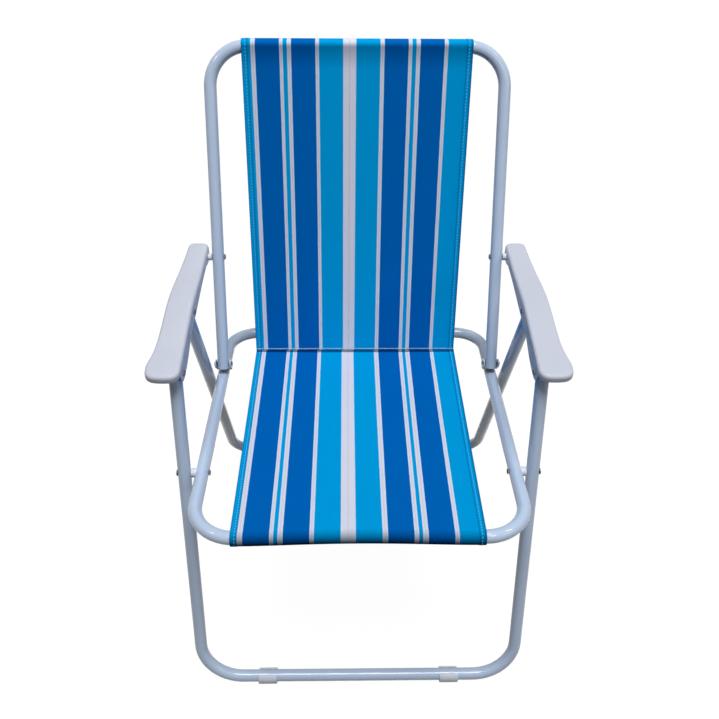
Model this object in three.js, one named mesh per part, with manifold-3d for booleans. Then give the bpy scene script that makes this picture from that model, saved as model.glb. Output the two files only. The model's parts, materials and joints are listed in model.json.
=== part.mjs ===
import * as THREE from 'three';
import { mergeVertices, toCreasedNormals } from 'three/addons/utils/BufferGeometryUtils.js';
import Module from 'manifold-3d';

const wasm = await Module();
wasm.setup();

// Folding lawn chair with a striped sling seat, in millimetres.
// X runs across the chair, Y from the front to the back, Z up from the floor.

// Tubes and clearances
const tube_diameter = 18;
const tube_wall = 1;
const gap = 0.3;
const tube_end_joint = 0.4;
const sleeve_length = 60;
const sleeve_wall = 1;

// Front leg, rear leg and their floor bars
const floor_bar_height = 12;
const front_leg_lean_deg = 19.37;
const front_leg_to_seat = 362.1;
const front_leg_above_seat = 148.1;
const leg_corner_radius = 62;
const leg_spacing = 6.25;
const foot_spread = 461.8;
const front_leg_end = 6.5;
const rear_leg_end = 5.5;

// Seat frame
const seat_slope_deg = 5.65;
const seat_front_reach = 115;
const seat_rear_reach = 339.7;
const seat_half_width = 214.25;
const seat_front_corner = 56.5;
const seat_rear_corner = 46;

// Back frame
const back_hinge_reach = 220.3;
const back_hinge_rise = 22.2;
const back_lean_deg = 24.83;
const back_length = 467.4;
const back_to_armrest = 170;
const back_set_in = 2.15;
const back_splay = 2;
const back_corner_radius = 51;
const back_tube_end = 7;

// Armrests: the shares run along the armrest from front to rear, across it from its inner
// face, and up from the line of its two end rivets
const armrest_rivet_reach = 106.6;
const armrest_rivet_rise = 11;
const armrest_front_reach = 27.4;
const armrest_rear_reach = 22.25;
const armrest_width = 45.4;
const armrest_height = 24;
const armrest_leg_gap = 0.5;
const armrest_wall = 2;
const armrest_edge_radius = 6;
const armrest_shares = [
  { along: 0.0524, across: 1, top: 0.8167, low: 0.3083 },
  { along: 0.0865, across: 1, top: 0.8333, low: 0.25 },
  { along: 0.1273, across: 0.9361, top: 0.8542, low: 0.1875 },
  { along: 0.1749, across: 0.8767, top: 0.875, low: 0.125 },
  { along: 0.2294, across: 0.8414, top: 0.9083, low: 0.0667 },
  { along: 0.3043, across: 0.826, top: 0.95, low: 0.025 },
  { along: 0.3792, across: 0.8238, top: 0.9792, low: 0 },
  { along: 0.4541, across: 0.8216, top: 0.9917, low: 0 },
  { along: 0.5289, across: 0.8183, top: 0.9417, low: 0 },
  { along: 0.6038, across: 0.8062, top: 0.825, low: 0 },
  { along: 0.6787, across: 0.7841, top: 0.7, low: 0 },
  { along: 0.7536, across: 0.7533, top: 0.6, low: -0.025 },
  { along: 0.8285, across: 0.7225, top: 0.5333, low: -0.0917 },
  { along: 0.9033, across: 0.6916, top: 0.4917, low: -0.15 },
  { along: 0.968, across: 0.6696, top: 0.4583, low: -0.175 },
];
const armrest_nose_shares = [
  { along: 0.0313, across: 0.9736 },
  { along: 0.0163, across: 0.9009 },
  { along: 0.0058, across: 0.7885 },
  { along: 0.0012, across: 0.641 },
  { along: 0, across: 0.4537 },
  { along: 0.0012, across: 0.2885 },
  { along: 0.0061, across: 0.1762 },
  { along: 0.0163, across: 0.0837 },
  { along: 0.0313, across: 0.0253 },
];
const armrest_tail_shares = [
  { along: 0.9833, across: 0.022 },
  { along: 0.9939, across: 0.0793 },
  { along: 0.9986, across: 0.1674 },
  { along: 1, across: 0.3304 },
  { along: 0.9986, across: 0.5066 },
  { along: 0.9939, across: 0.5991 },
  { along: 0.9833, across: 0.652 },
];
const armrest_nose_low = 9.2;
const armrest_rounding_steps = 3;
const lobe_inset = 0.25;
const lobe_depth = 10;
const front_lobe_shares = [
  [-0.0473, 1.1], [-0.0456, 0.3], [-0.0389, -0.3], [-0.0254, -0.74], [0, -0.92],
  [0.0338, -0.95], [0.0676, -0.91], [0.1149, -0.74], [0.1623, -0.44], [0.2096, -0.08],
  [0.2502, 0.3], [0.2502, 1.1],
];
const rear_lobe_shares = [
  [-0.1087, 0.3], [-0.0749, -0.14], [-0.0478, -0.56], [-0.0242, -0.89], [-0.0005, -1.02],
  [0.0232, -0.9], [0.0418, -0.54], [0.0502, 0], [0.0502, 0.3],
];

// Hinge brackets on the seat frame
const bracket_inner_half_span = 10.5;
const bracket_ear_thickness = 1.8;
const bracket_ear_radius = 7;
const bracket_web_top = 10.3;
const bracket_web_bottom = 8.6;
const bracket_foot_front = 3;
const bracket_foot_rear = 9;

// Rivets, spacers and floor glides
const rivet_diameter = 5;
const rivet_head_diameter = 9;
const rivet_head_height = 1.8;
const thin_head_height = 1.4;
const leg_spacer_diameter = 13;
const armrest_spacer_diameter = 11;
const glide_width = 28;
const glide_radius = 11.8;
const glide_drop = 0.8;
const glide_opening_deg = 46;
const glide_share_across = 0.585;

// Sling cloth
const cloth_thickness = 1.2;
const seat_cloth_margin = 53.75;
const back_cloth_margin = 47.6;
const seam_to_rear_bar = 68;
const loop_flap = 30;
const back_foot_share = 0.3;

// Smoothness of round forms
const tube_sides = 16;
const bend_steps = 6;
const loop_steps = 10;
const pin_sides = 12;
const crease_angle = Math.PI / 5;

// Point of the chair in the plane of its side view
function side_point(y, z) {
  return new THREE.Vector2(y, z);
}

// Direction that leans to the rear by an angle from upright
function lean_direction(degrees) {
  const angle = THREE.MathUtils.degToRad(degrees);
  return side_point(Math.sin(angle), Math.cos(angle));
}

// Direction turned a quarter turn upwards
function quarter_turn(direction) {
  return side_point(-direction.y, direction.x);
}

// Point at a reach along a direction and a rise across it
function step_from(start, direction, reach, rise = 0) {
  const up = quarter_turn(direction);
  return start.clone().addScaledVector(direction, reach).addScaledVector(up, rise);
}

const tube_radius = tube_diameter / 2;
const leg_half_width = seat_half_width + tube_diameter + leg_spacing;
const back_foot_half_width = seat_half_width - back_set_in;
const back_top_half_width = back_foot_half_width - back_splay;
const armrest_inner = leg_half_width - tube_radius - armrest_leg_gap - armrest_wall;
const cloth_seam_reach = seat_rear_reach - seam_to_rear_bar;
const seat_cloth_half_width = seat_half_width - seat_cloth_margin;
const back_cloth_half_width = back_top_half_width - back_cloth_margin;
const loop_inner = tube_radius + gap;
const loop_outer = loop_inner + cloth_thickness;
const front_leg_up = lean_direction(front_leg_lean_deg);
const back_up = lean_direction(back_lean_deg);
const seat_back = quarter_turn(lean_direction(seat_slope_deg)).negate();

const front_foot = side_point(0, floor_bar_height);
const leg_pivot = step_from(front_foot, front_leg_up, front_leg_to_seat);
const front_armrest_pivot = step_from(leg_pivot, front_leg_up, front_leg_above_seat);
const back_pivot = step_from(leg_pivot, seat_back, back_hinge_reach, back_hinge_rise);
const rear_armrest_pivot = step_from(back_pivot, back_up, back_to_armrest);
const seat_front_bar = step_from(leg_pivot, seat_back, -seat_front_reach);
const seat_rear_bar = step_from(leg_pivot, seat_back, seat_rear_reach);
const back_top_bar = step_from(back_pivot, back_up, back_length);
const armrest_link = rear_armrest_pivot.clone().sub(front_armrest_pivot);
const armrest_back = armrest_link.clone().normalize();
const armrest_length = armrest_front_reach + armrest_link.length() + armrest_rear_reach;
const rear_leg_pivot = step_from(
  front_armrest_pivot, armrest_back, armrest_rivet_reach, armrest_rivet_rise,
);
const rear_foot = side_point(foot_spread, floor_bar_height);
const rear_leg_up = rear_leg_pivot.clone().sub(rear_foot).normalize();
const middle_y = (back_top_bar.x + loop_outer - glide_radius) / 2;

const colours = {
  tube: 0xa9bfd8,
  white_plastic: 0xd4d9e8,
  rivet: 0x3b434c,
  seat_cloth: 0x0a78c8,
  back_cloth: 0x0860aa,
};

const materials = Object.fromEntries(Object.entries(colours).map(([name, color]) => [
  name, new THREE.MeshStandardMaterial({ name, color, roughness: 0.45 }),
]));

// Solid body from a drawn geometry, for joining and cutting
function to_solid(geometry) {
  const bare = new THREE.BufferGeometry();
  bare.setAttribute('position', geometry.getAttribute('position'));
  if (geometry.index) bare.setIndex(geometry.index);
  const merged = mergeVertices(bare);
  return new wasm.Manifold(new wasm.Mesh({
    numProp: 3,
    vertProperties: new Float32Array(merged.getAttribute('position').array),
    triVerts: new Uint32Array(merged.index.array),
  }));
}

// Drawn geometry from a solid body
function to_geometry(solid) {
  const mesh = solid.getMesh();
  const geometry = new THREE.BufferGeometry();
  geometry.setAttribute('position', new THREE.BufferAttribute(mesh.vertProperties, 3));
  geometry.setIndex(new THREE.BufferAttribute(mesh.triVerts, 1));
  return geometry;
}

// Path that gives back chosen stations, so bends stay evenly cut
class StationPath extends THREE.Curve {
  constructor(points) {
    super();
    this.points = points;
  }

  station(share) {
    return Math.round(share * (this.points.length - 1));
  }

  getPoint(share, target = new THREE.Vector3()) {
    return target.copy(this.points[this.station(share)]);
  }

  getPointAt(share, target) {
    return this.getPoint(share, target);
  }

  getTangentAt(share, target = new THREE.Vector3()) {
    const here = this.station(share);
    const before = this.points[Math.max(here - 1, 0)];
    const after = this.points[Math.min(here + 1, this.points.length - 1)];
    return target.subVectors(after, before).normalize();
  }
}

// Points round one bend between three corners of a path
function bend_points(before, corner, after, radius) {
  const into = before.clone().sub(corner).normalize();
  const out = after.clone().sub(corner).normalize();
  const half = into.angleTo(out) / 2;
  const inward = into.clone().add(out).normalize();
  const centre = corner.clone().addScaledVector(inward, radius / Math.sin(half));
  const start = corner.clone().addScaledVector(into, radius / Math.tan(half)).sub(centre);
  const sweep = Math.PI - 2 * half;
  const axis = new THREE.Vector3().crossVectors(into, out).normalize().negate();
  return Array.from({ length: bend_steps + 1 }, (unused, step) => start.clone()
    .applyAxisAngle(axis, sweep * step / bend_steps).add(centre));
}

// Whole path with every inner corner rounded
function rounded_path(corners, radii) {
  const points = [corners[0]];
  radii.forEach((radius, turn) => {
    points.push(...bend_points(corners[turn], corners[turn + 1], corners[turn + 2], radius));
  });
  points.push(corners[corners.length - 1]);
  return points;
}

// Round shape, with a bore when a wall is given
function ring_shape(radius, wall) {
  const shape = new THREE.Shape();
  shape.absarc(0, 0, radius, 0, Math.PI * 2, false);
  const bore = new THREE.Path();
  bore.absarc(0, 0, radius - wall, 0, Math.PI * 2, true);
  shape.holes.push(bore);
  return shape;
}

// Hollow tube along a path
function bent_tube(corners, radii, radius, wall) {
  const path = new StationPath(rounded_path(corners, radii));
  return to_solid(new THREE.ExtrudeGeometry(ring_shape(radius, wall), {
    extrudePath: path,
    steps: path.points.length - 1,
    curveSegments: tube_sides / 2,
    bevelEnabled: false,
  }));
}

// Round bar across the chair between two places
function cross_bar(centre, from_x, to_x, radius, sides = pin_sides) {
  const length = to_x - from_x;
  const bar = new THREE.CylinderGeometry(radius, radius, length, sides);
  bar.rotateZ(Math.PI / 2);
  bar.translate(from_x + length / 2, centre.x, centre.y);
  return to_solid(bar);
}

// Round bar along a side-view direction
function long_bar(centre, direction, across, radius, length) {
  const bar = new THREE.CylinderGeometry(radius, radius, length, tube_sides * 2);
  bar.rotateX(Math.atan2(direction.y, direction.x));
  bar.translate(across, centre.x, centre.y);
  return to_solid(bar);
}

// Plate cut to a side-view outline, standing between two places across the chair
function side_plate(shape, from_x, to_x) {
  const plate = new THREE.ExtrudeGeometry(shape, {
    depth: to_x - from_x,
    curveSegments: loop_steps,
    bevelEnabled: false,
  });
  plate.applyMatrix4(new THREE.Matrix4().set(
    0, 0, 1, from_x,
    1, 0, 0, 0,
    0, 1, 0, 0,
    0, 0, 0, 1,
  ));
  return to_solid(plate);
}

// Corner of a tube path from a side-view point
function corner_at(across, point) {
  return new THREE.Vector3(across, point.x, point.y);
}

// Two sides and a cross bar in one tube, open at both far ends
function u_tube(start, end, start_half, end_half, radius) {
  const corners = [
    corner_at(-start_half, start),
    corner_at(-end_half, end),
    corner_at(end_half, end),
    corner_at(start_half, start),
  ];
  return bent_tube(corners, [radius, radius], tube_radius, tube_wall);
}

// Rivet hole through both sides of a frame
function drilled(solid, centre, radius) {
  const reach = leg_half_width + tube_diameter;
  return solid.subtract(cross_bar(centre, -reach, reach, radius));
}

const rivet_hole = rivet_diameter / 2 + gap;
const loose_rivet_hole = rivet_diameter / 2 + gap * 4;

function front_leg() {
  const top = step_from(front_armrest_pivot, front_leg_up, front_leg_end);
  const leg = u_tube(top, front_foot, leg_half_width, leg_half_width, leg_corner_radius);
  return drilled(drilled(leg, leg_pivot, rivet_hole), front_armrest_pivot, loose_rivet_hole);
}

function rear_leg() {
  const top = step_from(rear_leg_pivot, rear_leg_up, rear_leg_end);
  const leg = u_tube(top, rear_foot, leg_half_width, leg_half_width, leg_corner_radius);
  return drilled(leg, rear_leg_pivot, rivet_hole);
}

function back_frame() {
  const foot = step_from(back_pivot, back_up, -back_tube_end);
  const back = u_tube(
    foot, back_top_bar, back_foot_half_width, back_top_half_width, back_corner_radius,
  );
  return drilled(drilled(back, back_pivot, rivet_hole), rear_armrest_pivot, rivet_hole);
}

// One bent tube whose ends meet in the middle of the rear bar
function seat_frame() {
  const half_joint = tube_end_joint / 2;
  const corners = [
    corner_at(half_joint, seat_rear_bar),
    corner_at(seat_half_width, seat_rear_bar),
    corner_at(seat_half_width, seat_front_bar),
    corner_at(-seat_half_width, seat_front_bar),
    corner_at(-seat_half_width, seat_rear_bar),
    corner_at(-half_joint, seat_rear_bar),
  ];
  const radii = [seat_rear_corner, seat_front_corner, seat_front_corner, seat_rear_corner];
  const frame = bent_tube(corners, radii, tube_radius, tube_wall);
  return drilled(frame, leg_pivot, rivet_hole);
}

function seat_frame_sleeve() {
  const outer = tube_radius - tube_wall - gap;
  const half = sleeve_length / 2;
  const sleeve = cross_bar(seat_rear_bar, -half, half, outer);
  return sleeve.subtract(cross_bar(seat_rear_bar, -sleeve_length, sleeve_length, outer - sleeve_wall));
}

// Round part of one bracket ear, about the rivet
function ear_shape() {
  const shape = new THREE.Shape();
  shape.absarc(back_pivot.x, back_pivot.y, bracket_ear_radius, 0, Math.PI * 2, false);
  return shape;
}

// Neck of one bracket ear, from the rivet down and back to the tube
function neck_shape() {
  const local = (reach, rise) => step_from(back_pivot, seat_back, reach, rise);
  const foot_rise = bracket_web_bottom - back_hinge_rise;
  return new THREE.Shape([
    local(bracket_foot_front, foot_rise),
    local(bracket_foot_rear, foot_rise),
    local(bracket_foot_rear - bracket_foot_front, 0),
    local(0, 0),
  ]);
}

// Bracket web over the tube between the ears
function web_shape() {
  const local = (reach, height) => step_from(
    back_pivot, seat_back, reach, height - back_hinge_rise,
  );
  return new THREE.Shape([
    local(bracket_foot_front, bracket_web_bottom),
    local(bracket_foot_rear, bracket_web_bottom),
    local(bracket_foot_rear, bracket_web_top),
    local(bracket_foot_front, bracket_web_top),
  ]);
}

function hinge_bracket(side) {
  const inner_face = back_foot_half_width - bracket_inner_half_span;
  const outer_face = back_foot_half_width + bracket_inner_half_span;
  const low = inner_face - bracket_ear_thickness;
  const high = outer_face + bracket_ear_thickness;
  const ear = (from_x, to_x) => side_plate(ear_shape(), from_x, to_x)
    .add(side_plate(neck_shape(), from_x, to_x));
  const ears = ear(low, inner_face).add(ear(outer_face, high));
  const whole = ears.add(side_plate(web_shape(), low, high));
  const tube = long_bar(
    leg_pivot, seat_back, seat_half_width, tube_radius + gap, seat_rear_reach * 2,
  );
  const cut = whole.subtract(tube).subtract(cross_bar(back_pivot, 0, high * 2, rivet_hole));
  return mirrored(cut, side);
}

// Same body on the other side of the chair when the side is negative
function mirrored(solid, side) {
  return side < 0 ? solid.mirror([1, 0, 0]) : solid;
}

// Rivet across the chair with a domed head on each end
function rivet(side, centre, inner_face, outer_face, inner_head, outer_head) {
  const shank = rivet_diameter / 2;
  const head = rivet_head_diameter / 2;
  const start = inner_face - gap;
  const end = outer_face + gap;
  const half_chord = Math.SQRT1_2;
  const profile = [
    new THREE.Vector2(0, start - inner_head),
    new THREE.Vector2(head * half_chord, start - inner_head * half_chord),
    new THREE.Vector2(head, start),
    new THREE.Vector2(shank, start),
    new THREE.Vector2(shank, end),
    new THREE.Vector2(head, end),
    new THREE.Vector2(head * half_chord, end + outer_head * half_chord),
    new THREE.Vector2(0, end + outer_head),
  ];
  const turned = new THREE.LatheGeometry(profile, pin_sides);
  turned.rotateZ(-Math.PI / 2);
  turned.translate(0, centre.x, centre.y);
  return mirrored(to_solid(turned), side);
}

function leg_rivet(side) {
  return rivet(
    side, leg_pivot, seat_half_width - tube_radius, leg_half_width + tube_radius,
    rivet_head_height, rivet_head_height,
  );
}

function hinge_rivet(side) {
  const reach = bracket_inner_half_span + bracket_ear_thickness;
  return rivet(
    side, back_pivot, back_foot_half_width - reach, back_foot_half_width + reach,
    rivet_head_height, thin_head_height,
  );
}

// Half width of the back frame at the armrest rivet
const back_half_at_armrest = THREE.MathUtils.lerp(
  back_foot_half_width, back_top_half_width, back_to_armrest / back_length,
);

function rear_armrest_rivet(side) {
  return rivet(
    side, rear_armrest_pivot, back_half_at_armrest - tube_radius,
    armrest_inner + armrest_wall, rivet_head_height, rivet_head_height,
  );
}

function leg_armrest_rivet(side, centre) {
  return rivet(
    side, centre, armrest_inner, leg_half_width + tube_radius,
    thin_head_height, rivet_head_height,
  );
}

// Plastic spacer between the seat tube and the front leg, hollowed to fit the seat tube
function leg_spacer(side) {
  const end = leg_half_width - tube_radius - gap;
  const body = cross_bar(leg_pivot, seat_half_width, end, leg_spacer_diameter / 2);
  const tube = long_bar(
    leg_pivot, seat_back, seat_half_width, tube_radius + gap, leg_spacer_diameter * 2,
  );
  const hole = cross_bar(leg_pivot, 0, end * 2, rivet_hole);
  return mirrored(body.subtract(tube).subtract(hole), side);
}

function armrest_spacer(side) {
  const start = back_half_at_armrest + tube_radius + gap;
  const end = armrest_inner - gap;
  const body = cross_bar(rear_armrest_pivot, start, end, armrest_spacer_diameter / 2);
  return mirrored(body.subtract(cross_bar(rear_armrest_pivot, 0, end * 2, rivet_hole)), side);
}

// Rows of a table of shares as sizes from the front rivet and the inner face
function armrest_rows(shares) {
  return shares.map((row) => ({
    at: row.along * armrest_length - armrest_front_reach,
    across: armrest_inner + row.across * armrest_width,
    top: row.top * armrest_height,
    low: row.low * armrest_height,
  }));
}

const body_rows = armrest_rows(armrest_shares);
const front_row = body_rows[0];
const rear_row = body_rows[body_rows.length - 1];

// Size in a named column of the armrest's body at a place along it
function armrest_size(column, at) {
  const after = body_rows.findIndex((row) => row.at >= at);
  if (after === 0) return front_row[column];
  if (after < 0) return rear_row[column];
  const before = body_rows[after - 1];
  const share = (at - before.at) / (body_rows[after].at - before.at);
  return THREE.MathUtils.lerp(before[column], body_rows[after][column], share);
}

// Plan outline of the armrest, the rows' two sides joined by the nose and the tail
function armrest_outline() {
  const outer = body_rows.map((row) => ({ at: row.at, across: row.across, spine: row.at }));
  const inner = body_rows.map((row) => ({ at: row.at, across: armrest_inner, spine: row.at }));
  const end_points = (shares, spine) => armrest_rows(shares)
    .map((row) => ({ at: row.at, across: row.across, spine }));
  const nose = end_points(armrest_nose_shares, front_row.at);
  const tail = end_points(armrest_tail_shares, rear_row.at);
  return [...inner, ...tail, ...outer.reverse(), ...nose];
}

// Outline moved inwards by an even distance
function inset_outline(outline, distance) {
  return outline.map((row, place) => {
    const before = outline[(place + outline.length - 1) % outline.length];
    const after = outline[(place + 1) % outline.length];
    const run = new THREE.Vector2(after.across - before.across, after.at - before.at).normalize();
    return { at: row.at + run.x * distance, across: row.across + run.y * distance, spine: row.spine };
  });
}

// Rings of one skin of the armrest, from its lower edge over the rounded edge to the middle line
function armrest_rings(inset) {
  const outline = inset_outline(armrest_outline(), inset);
  const radius = armrest_edge_radius - inset;
  const top = (row) => armrest_size('top', row.at) - inset;
  const low = (row) => (row.at < front_row.at ? armrest_nose_low : armrest_size('low', row.at));
  const rings = [outline.map((row) => ({ ...row, height: low(row) }))];
  for (let step = 0; step <= armrest_rounding_steps; step += 1) {
    const angle = Math.PI / 2 * step / armrest_rounding_steps;
    const moved = inset_outline(outline, radius * (1 - Math.cos(angle)));
    rings.push(moved.map((row) => ({
      ...row, height: top(row) - radius * (1 - Math.sin(angle)),
    })));
  }
  const spine = outline.map((row) => ({
    at: row.spine, across: armrest_middle(row.spine), spine: row.spine,
  }));
  rings.push(spine.map((row) => ({ ...row, height: top(row) })));
  return rings;
}

// Middle line of the armrest at a place along it
function armrest_middle(at) {
  return (armrest_inner + armrest_size('across', at)) / 2;
}

// Point of the armrest in the chair's own frame
function armrest_point(row) {
  const point = step_from(front_armrest_pivot, armrest_back, row.at, row.height);
  return [row.across, point.x, point.y];
}

// Two triangles for each step along a pair of rings
function ring_faces(lower, upper, flip) {
  const faces = [];
  lower.forEach((row, place) => {
    const next = (place + 1) % lower.length;
    const quad = [lower[place], lower[next], upper[next], upper[place]].map(armrest_point);
    const order = flip ? [0, 2, 1, 0, 3, 2] : [0, 1, 2, 0, 2, 3];
    order.forEach((corner) => faces.push(...quad[corner]));
  });
  return faces;
}

// Hollow pad of the armrest, open below
function armrest_pad() {
  const outer = armrest_rings(0);
  const inner = armrest_rings(armrest_wall);
  const faces = ring_faces(inner[0], outer[0], true);
  for (let ring = 0; ring < outer.length - 1; ring += 1) {
    faces.push(...ring_faces(outer[ring], outer[ring + 1], true));
    faces.push(...ring_faces(inner[ring], inner[ring + 1], false));
  }
  const geometry = new THREE.BufferGeometry();
  geometry.setAttribute('position', new THREE.Float32BufferAttribute(faces, 3));
  return to_solid(without_flat_faces(geometry));
}

// Geometry with its points welded and its empty triangles left out
function without_flat_faces(geometry) {
  const merged = mergeVertices(geometry);
  const kept = [];
  const index = merged.index.array;
  for (let face = 0; face < index.length; face += 3) {
    const [a, b, c] = index.slice(face, face + 3);
    if (a !== b && b !== c && c !== a) kept.push(a, b, c);
  }
  merged.setIndex(kept);
  return merged;
}

// Lobe of the armrest's inner wall that reaches down round a rivet
function armrest_lobe(pivot, shares) {
  const outline = shares.map(([along, down]) => step_from(
    pivot, armrest_back, along * armrest_length, down * lobe_depth,
  ));
  const inner = armrest_inner + lobe_inset;
  return side_plate(new THREE.Shape(outline), inner, armrest_inner + armrest_wall - lobe_inset);
}

function armrest(side) {
  let body = armrest_pad()
    .add(armrest_lobe(front_armrest_pivot, front_lobe_shares))
    .add(armrest_lobe(rear_armrest_pivot, rear_lobe_shares));
  [front_armrest_pivot, rear_armrest_pivot, rear_leg_pivot].forEach((centre) => {
    const hole_end = armrest_inner + armrest_wall * 2;
    body = body.subtract(cross_bar(centre, 0, hole_end, rivet_hole));
  });
  return mirrored(body, side);
}

// Clip round a floor bar, open towards its leg, with a flat sole on the floor
function glide_shape(foot, leg_up) {
  const opening = THREE.MathUtils.degToRad(glide_opening_deg);
  const upright = Math.atan2(leg_up.y, leg_up.x);
  const start = upright + opening;
  const sweep = Math.PI * 2 - opening * 2;
  const outer = [];
  const inner = [];
  for (let step = 0; step <= loop_steps * 2; step += 1) {
    const angle = start + sweep * step / (loop_steps * 2);
    const turn = side_point(Math.cos(angle), Math.sin(angle));
    const point = foot.clone().addScaledVector(turn, glide_radius);
    outer.push(side_point(point.x, Math.max(point.y - glide_drop, 0)));
    inner.unshift(foot.clone().addScaledVector(turn, loop_inner));
  }
  return new THREE.Shape([...outer, ...inner]);
}

function glide(side, foot, leg_up) {
  const centre = leg_half_width * glide_share_across;
  const half = glide_width / 2;
  return mirrored(side_plate(glide_shape(foot, leg_up), centre - half, centre + half), side);
}

// Points on part of a circle in the side view
function arc_points(centre, radius, start, end) {
  return Array.from({ length: loop_steps + 1 }, (unused, step) => {
    const angle = start + (end - start) * step / loop_steps;
    return side_point(centre.x + radius * Math.cos(angle), centre.y + radius * Math.sin(angle));
  });
}

// Angle where the sewn flap leaves the loop, for a loop at the end of a flat run
function flap_angle() {
  const toward = Math.atan2(loop_inner, -loop_flap);
  return toward + Math.acos(loop_outer / Math.hypot(loop_flap, loop_inner));
}

// Outline points and void of one loop, drawn at the origin with its run towards negative X
function loop_parts() {
  const angle = flap_angle() - Math.PI * 2;
  const centre = side_point(0, 0);
  const tip = loop_inner * (1 - Math.sin(angle)) / Math.cos(angle);
  return {
    outline: [...arc_points(centre, loop_outer, Math.PI / 2, angle), side_point(-loop_flap, loop_inner)],
    hollow: [...arc_points(centre, loop_inner, angle, Math.PI / 2), side_point(tip, loop_inner)],
  };
}

// Moves drawn points onto the chair
function placed(points, centre, along) {
  return points.map((point) => step_from(centre, along, point.x, point.y));
}

// Cloth run over two bars, sewn round each of them
function seat_panel() {
  const rear = loop_parts();
  const flipped = (points) => points.map((point) => side_point(-point.x, point.y)).reverse();
  const outline = [
    ...placed(flipped(rear.outline), seat_front_bar, seat_back),
    ...placed(rear.outline, seat_rear_bar, seat_back),
  ];
  const shape = new THREE.Shape(outline);
  shape.holes.push(new THREE.Path(placed(rear.hollow, seat_rear_bar, seat_back)));
  shape.holes.push(new THREE.Path(placed(flipped(rear.hollow), seat_front_bar, seat_back)));
  return side_plate(shape, -seat_cloth_half_width, seat_cloth_half_width);
}

// Front face of the back cloth where it is sewn on the seat cloth
const seam = step_from(leg_pivot, seat_back, cloth_seam_reach, loop_outer + gap);
const seam_to_bar = back_top_bar.clone().sub(seam);
const seam_bar_distance = seam_to_bar.length();
const back_cloth_angle = Math.atan2(seam_to_bar.y, seam_to_bar.x)
  + Math.asin(loop_outer / seam_bar_distance);
const back_cloth_up = side_point(Math.cos(back_cloth_angle), Math.sin(back_cloth_angle));
const back_cloth_run = Math.sqrt(seam_bar_distance ** 2 - loop_outer ** 2);

// Cloth run up the front of the back frame and sewn round its top bar
function back_panel() {
  const loop = loop_parts();
  const start = back_cloth_run * back_foot_share + gap / 2;
  const outline = [
    side_point(start - back_cloth_run, loop_inner),
    side_point(start - back_cloth_run, loop_outer),
    ...loop.outline,
  ];
  const shape = new THREE.Shape(placed(outline, back_top_bar, back_cloth_up));
  shape.holes.push(new THREE.Path(placed(loop.hollow, back_top_bar, back_cloth_up)));
  return side_plate(shape, -back_cloth_half_width, back_cloth_half_width);
}

// Lowest part of the back cloth, which goes slack when the chair folds
function back_panel_foot() {
  const end = back_cloth_run * back_foot_share - gap / 2 - back_cloth_run;
  const outline = [
    side_point(-back_cloth_run, loop_inner),
    side_point(end, loop_inner),
    side_point(end, loop_outer),
    side_point(-back_cloth_run, loop_outer),
  ];
  const shape = new THREE.Shape(placed(outline, back_top_bar, back_cloth_up));
  return side_plate(shape, -back_cloth_half_width, back_cloth_half_width);
}

// Named mesh of one body, moved so that the chair stands centred on the origin
function piece(name, solid, material) {
  const geometry = toCreasedNormals(to_geometry(solid), crease_angle);
  geometry.translate(0, -middle_y, 0);
  const mesh = new THREE.Mesh(geometry, materials[material]);
  mesh.name = name;
  return mesh;
}

function side_pieces(side, word) {
  return [
    piece(`${word}_armrest`, armrest(side), 'white_plastic'),
    piece(`${word}_hinge_bracket`, hinge_bracket(side), 'tube'),
    piece(`${word}_leg_rivet`, leg_rivet(side), 'rivet'),
    piece(`${word}_hinge_rivet`, hinge_rivet(side), 'rivet'),
    piece(`${word}_armrest_front_rivet`, leg_armrest_rivet(side, front_armrest_pivot), 'rivet'),
    piece(`${word}_armrest_middle_rivet`, leg_armrest_rivet(side, rear_leg_pivot), 'rivet'),
    piece(`${word}_armrest_rear_rivet`, rear_armrest_rivet(side), 'rivet'),
    piece(`${word}_leg_spacer`, leg_spacer(side), 'white_plastic'),
    piece(`${word}_armrest_spacer`, armrest_spacer(side), 'white_plastic'),
    piece(`${word}_front_glide`, glide(side, front_foot, front_leg_up), 'white_plastic'),
    piece(`${word}_rear_glide`, glide(side, rear_foot, rear_leg_up), 'white_plastic'),
  ];
}

const chair = new THREE.Group();
chair.name = 'folding_lawn_chair';
chair.add(
  piece('front_leg', front_leg(), 'tube'),
  piece('rear_leg', rear_leg(), 'tube'),
  piece('seat_frame', seat_frame(), 'tube'),
  piece('seat_frame_sleeve', seat_frame_sleeve(), 'tube'),
  piece('back_frame', back_frame(), 'tube'),
  piece('seat_panel', seat_panel(), 'seat_cloth'),
  piece('back_panel', back_panel(), 'back_cloth'),
  piece('back_panel_foot', back_panel_foot(), 'back_cloth'),
  ...side_pieces(-1, 'left'),
  ...side_pieces(1, 'right'),
);

export default chair;
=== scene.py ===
import json
import math

import bmesh
import bpy
from mathutils import Matrix, Vector


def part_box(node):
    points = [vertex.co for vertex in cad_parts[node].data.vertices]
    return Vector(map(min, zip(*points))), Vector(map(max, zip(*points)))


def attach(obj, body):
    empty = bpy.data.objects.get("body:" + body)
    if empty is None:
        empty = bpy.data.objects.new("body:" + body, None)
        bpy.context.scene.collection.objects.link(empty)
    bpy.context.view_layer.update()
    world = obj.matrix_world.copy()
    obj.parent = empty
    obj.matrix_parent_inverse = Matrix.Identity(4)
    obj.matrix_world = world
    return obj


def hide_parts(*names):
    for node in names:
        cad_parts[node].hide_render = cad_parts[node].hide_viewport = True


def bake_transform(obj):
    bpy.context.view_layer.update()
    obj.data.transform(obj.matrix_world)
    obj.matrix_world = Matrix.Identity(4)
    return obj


bl_info = {
    "name": "Folding Lawn Chair",
    "version": (1, 0, 0),
    "blender": (4, 5, 0),
    "location": "3D View > Sidebar > Lawn Chair",
    "description": "Bent tube frame, moulded armrests and striped cloth of a folding chair",
    "category": "Object",
}

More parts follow.
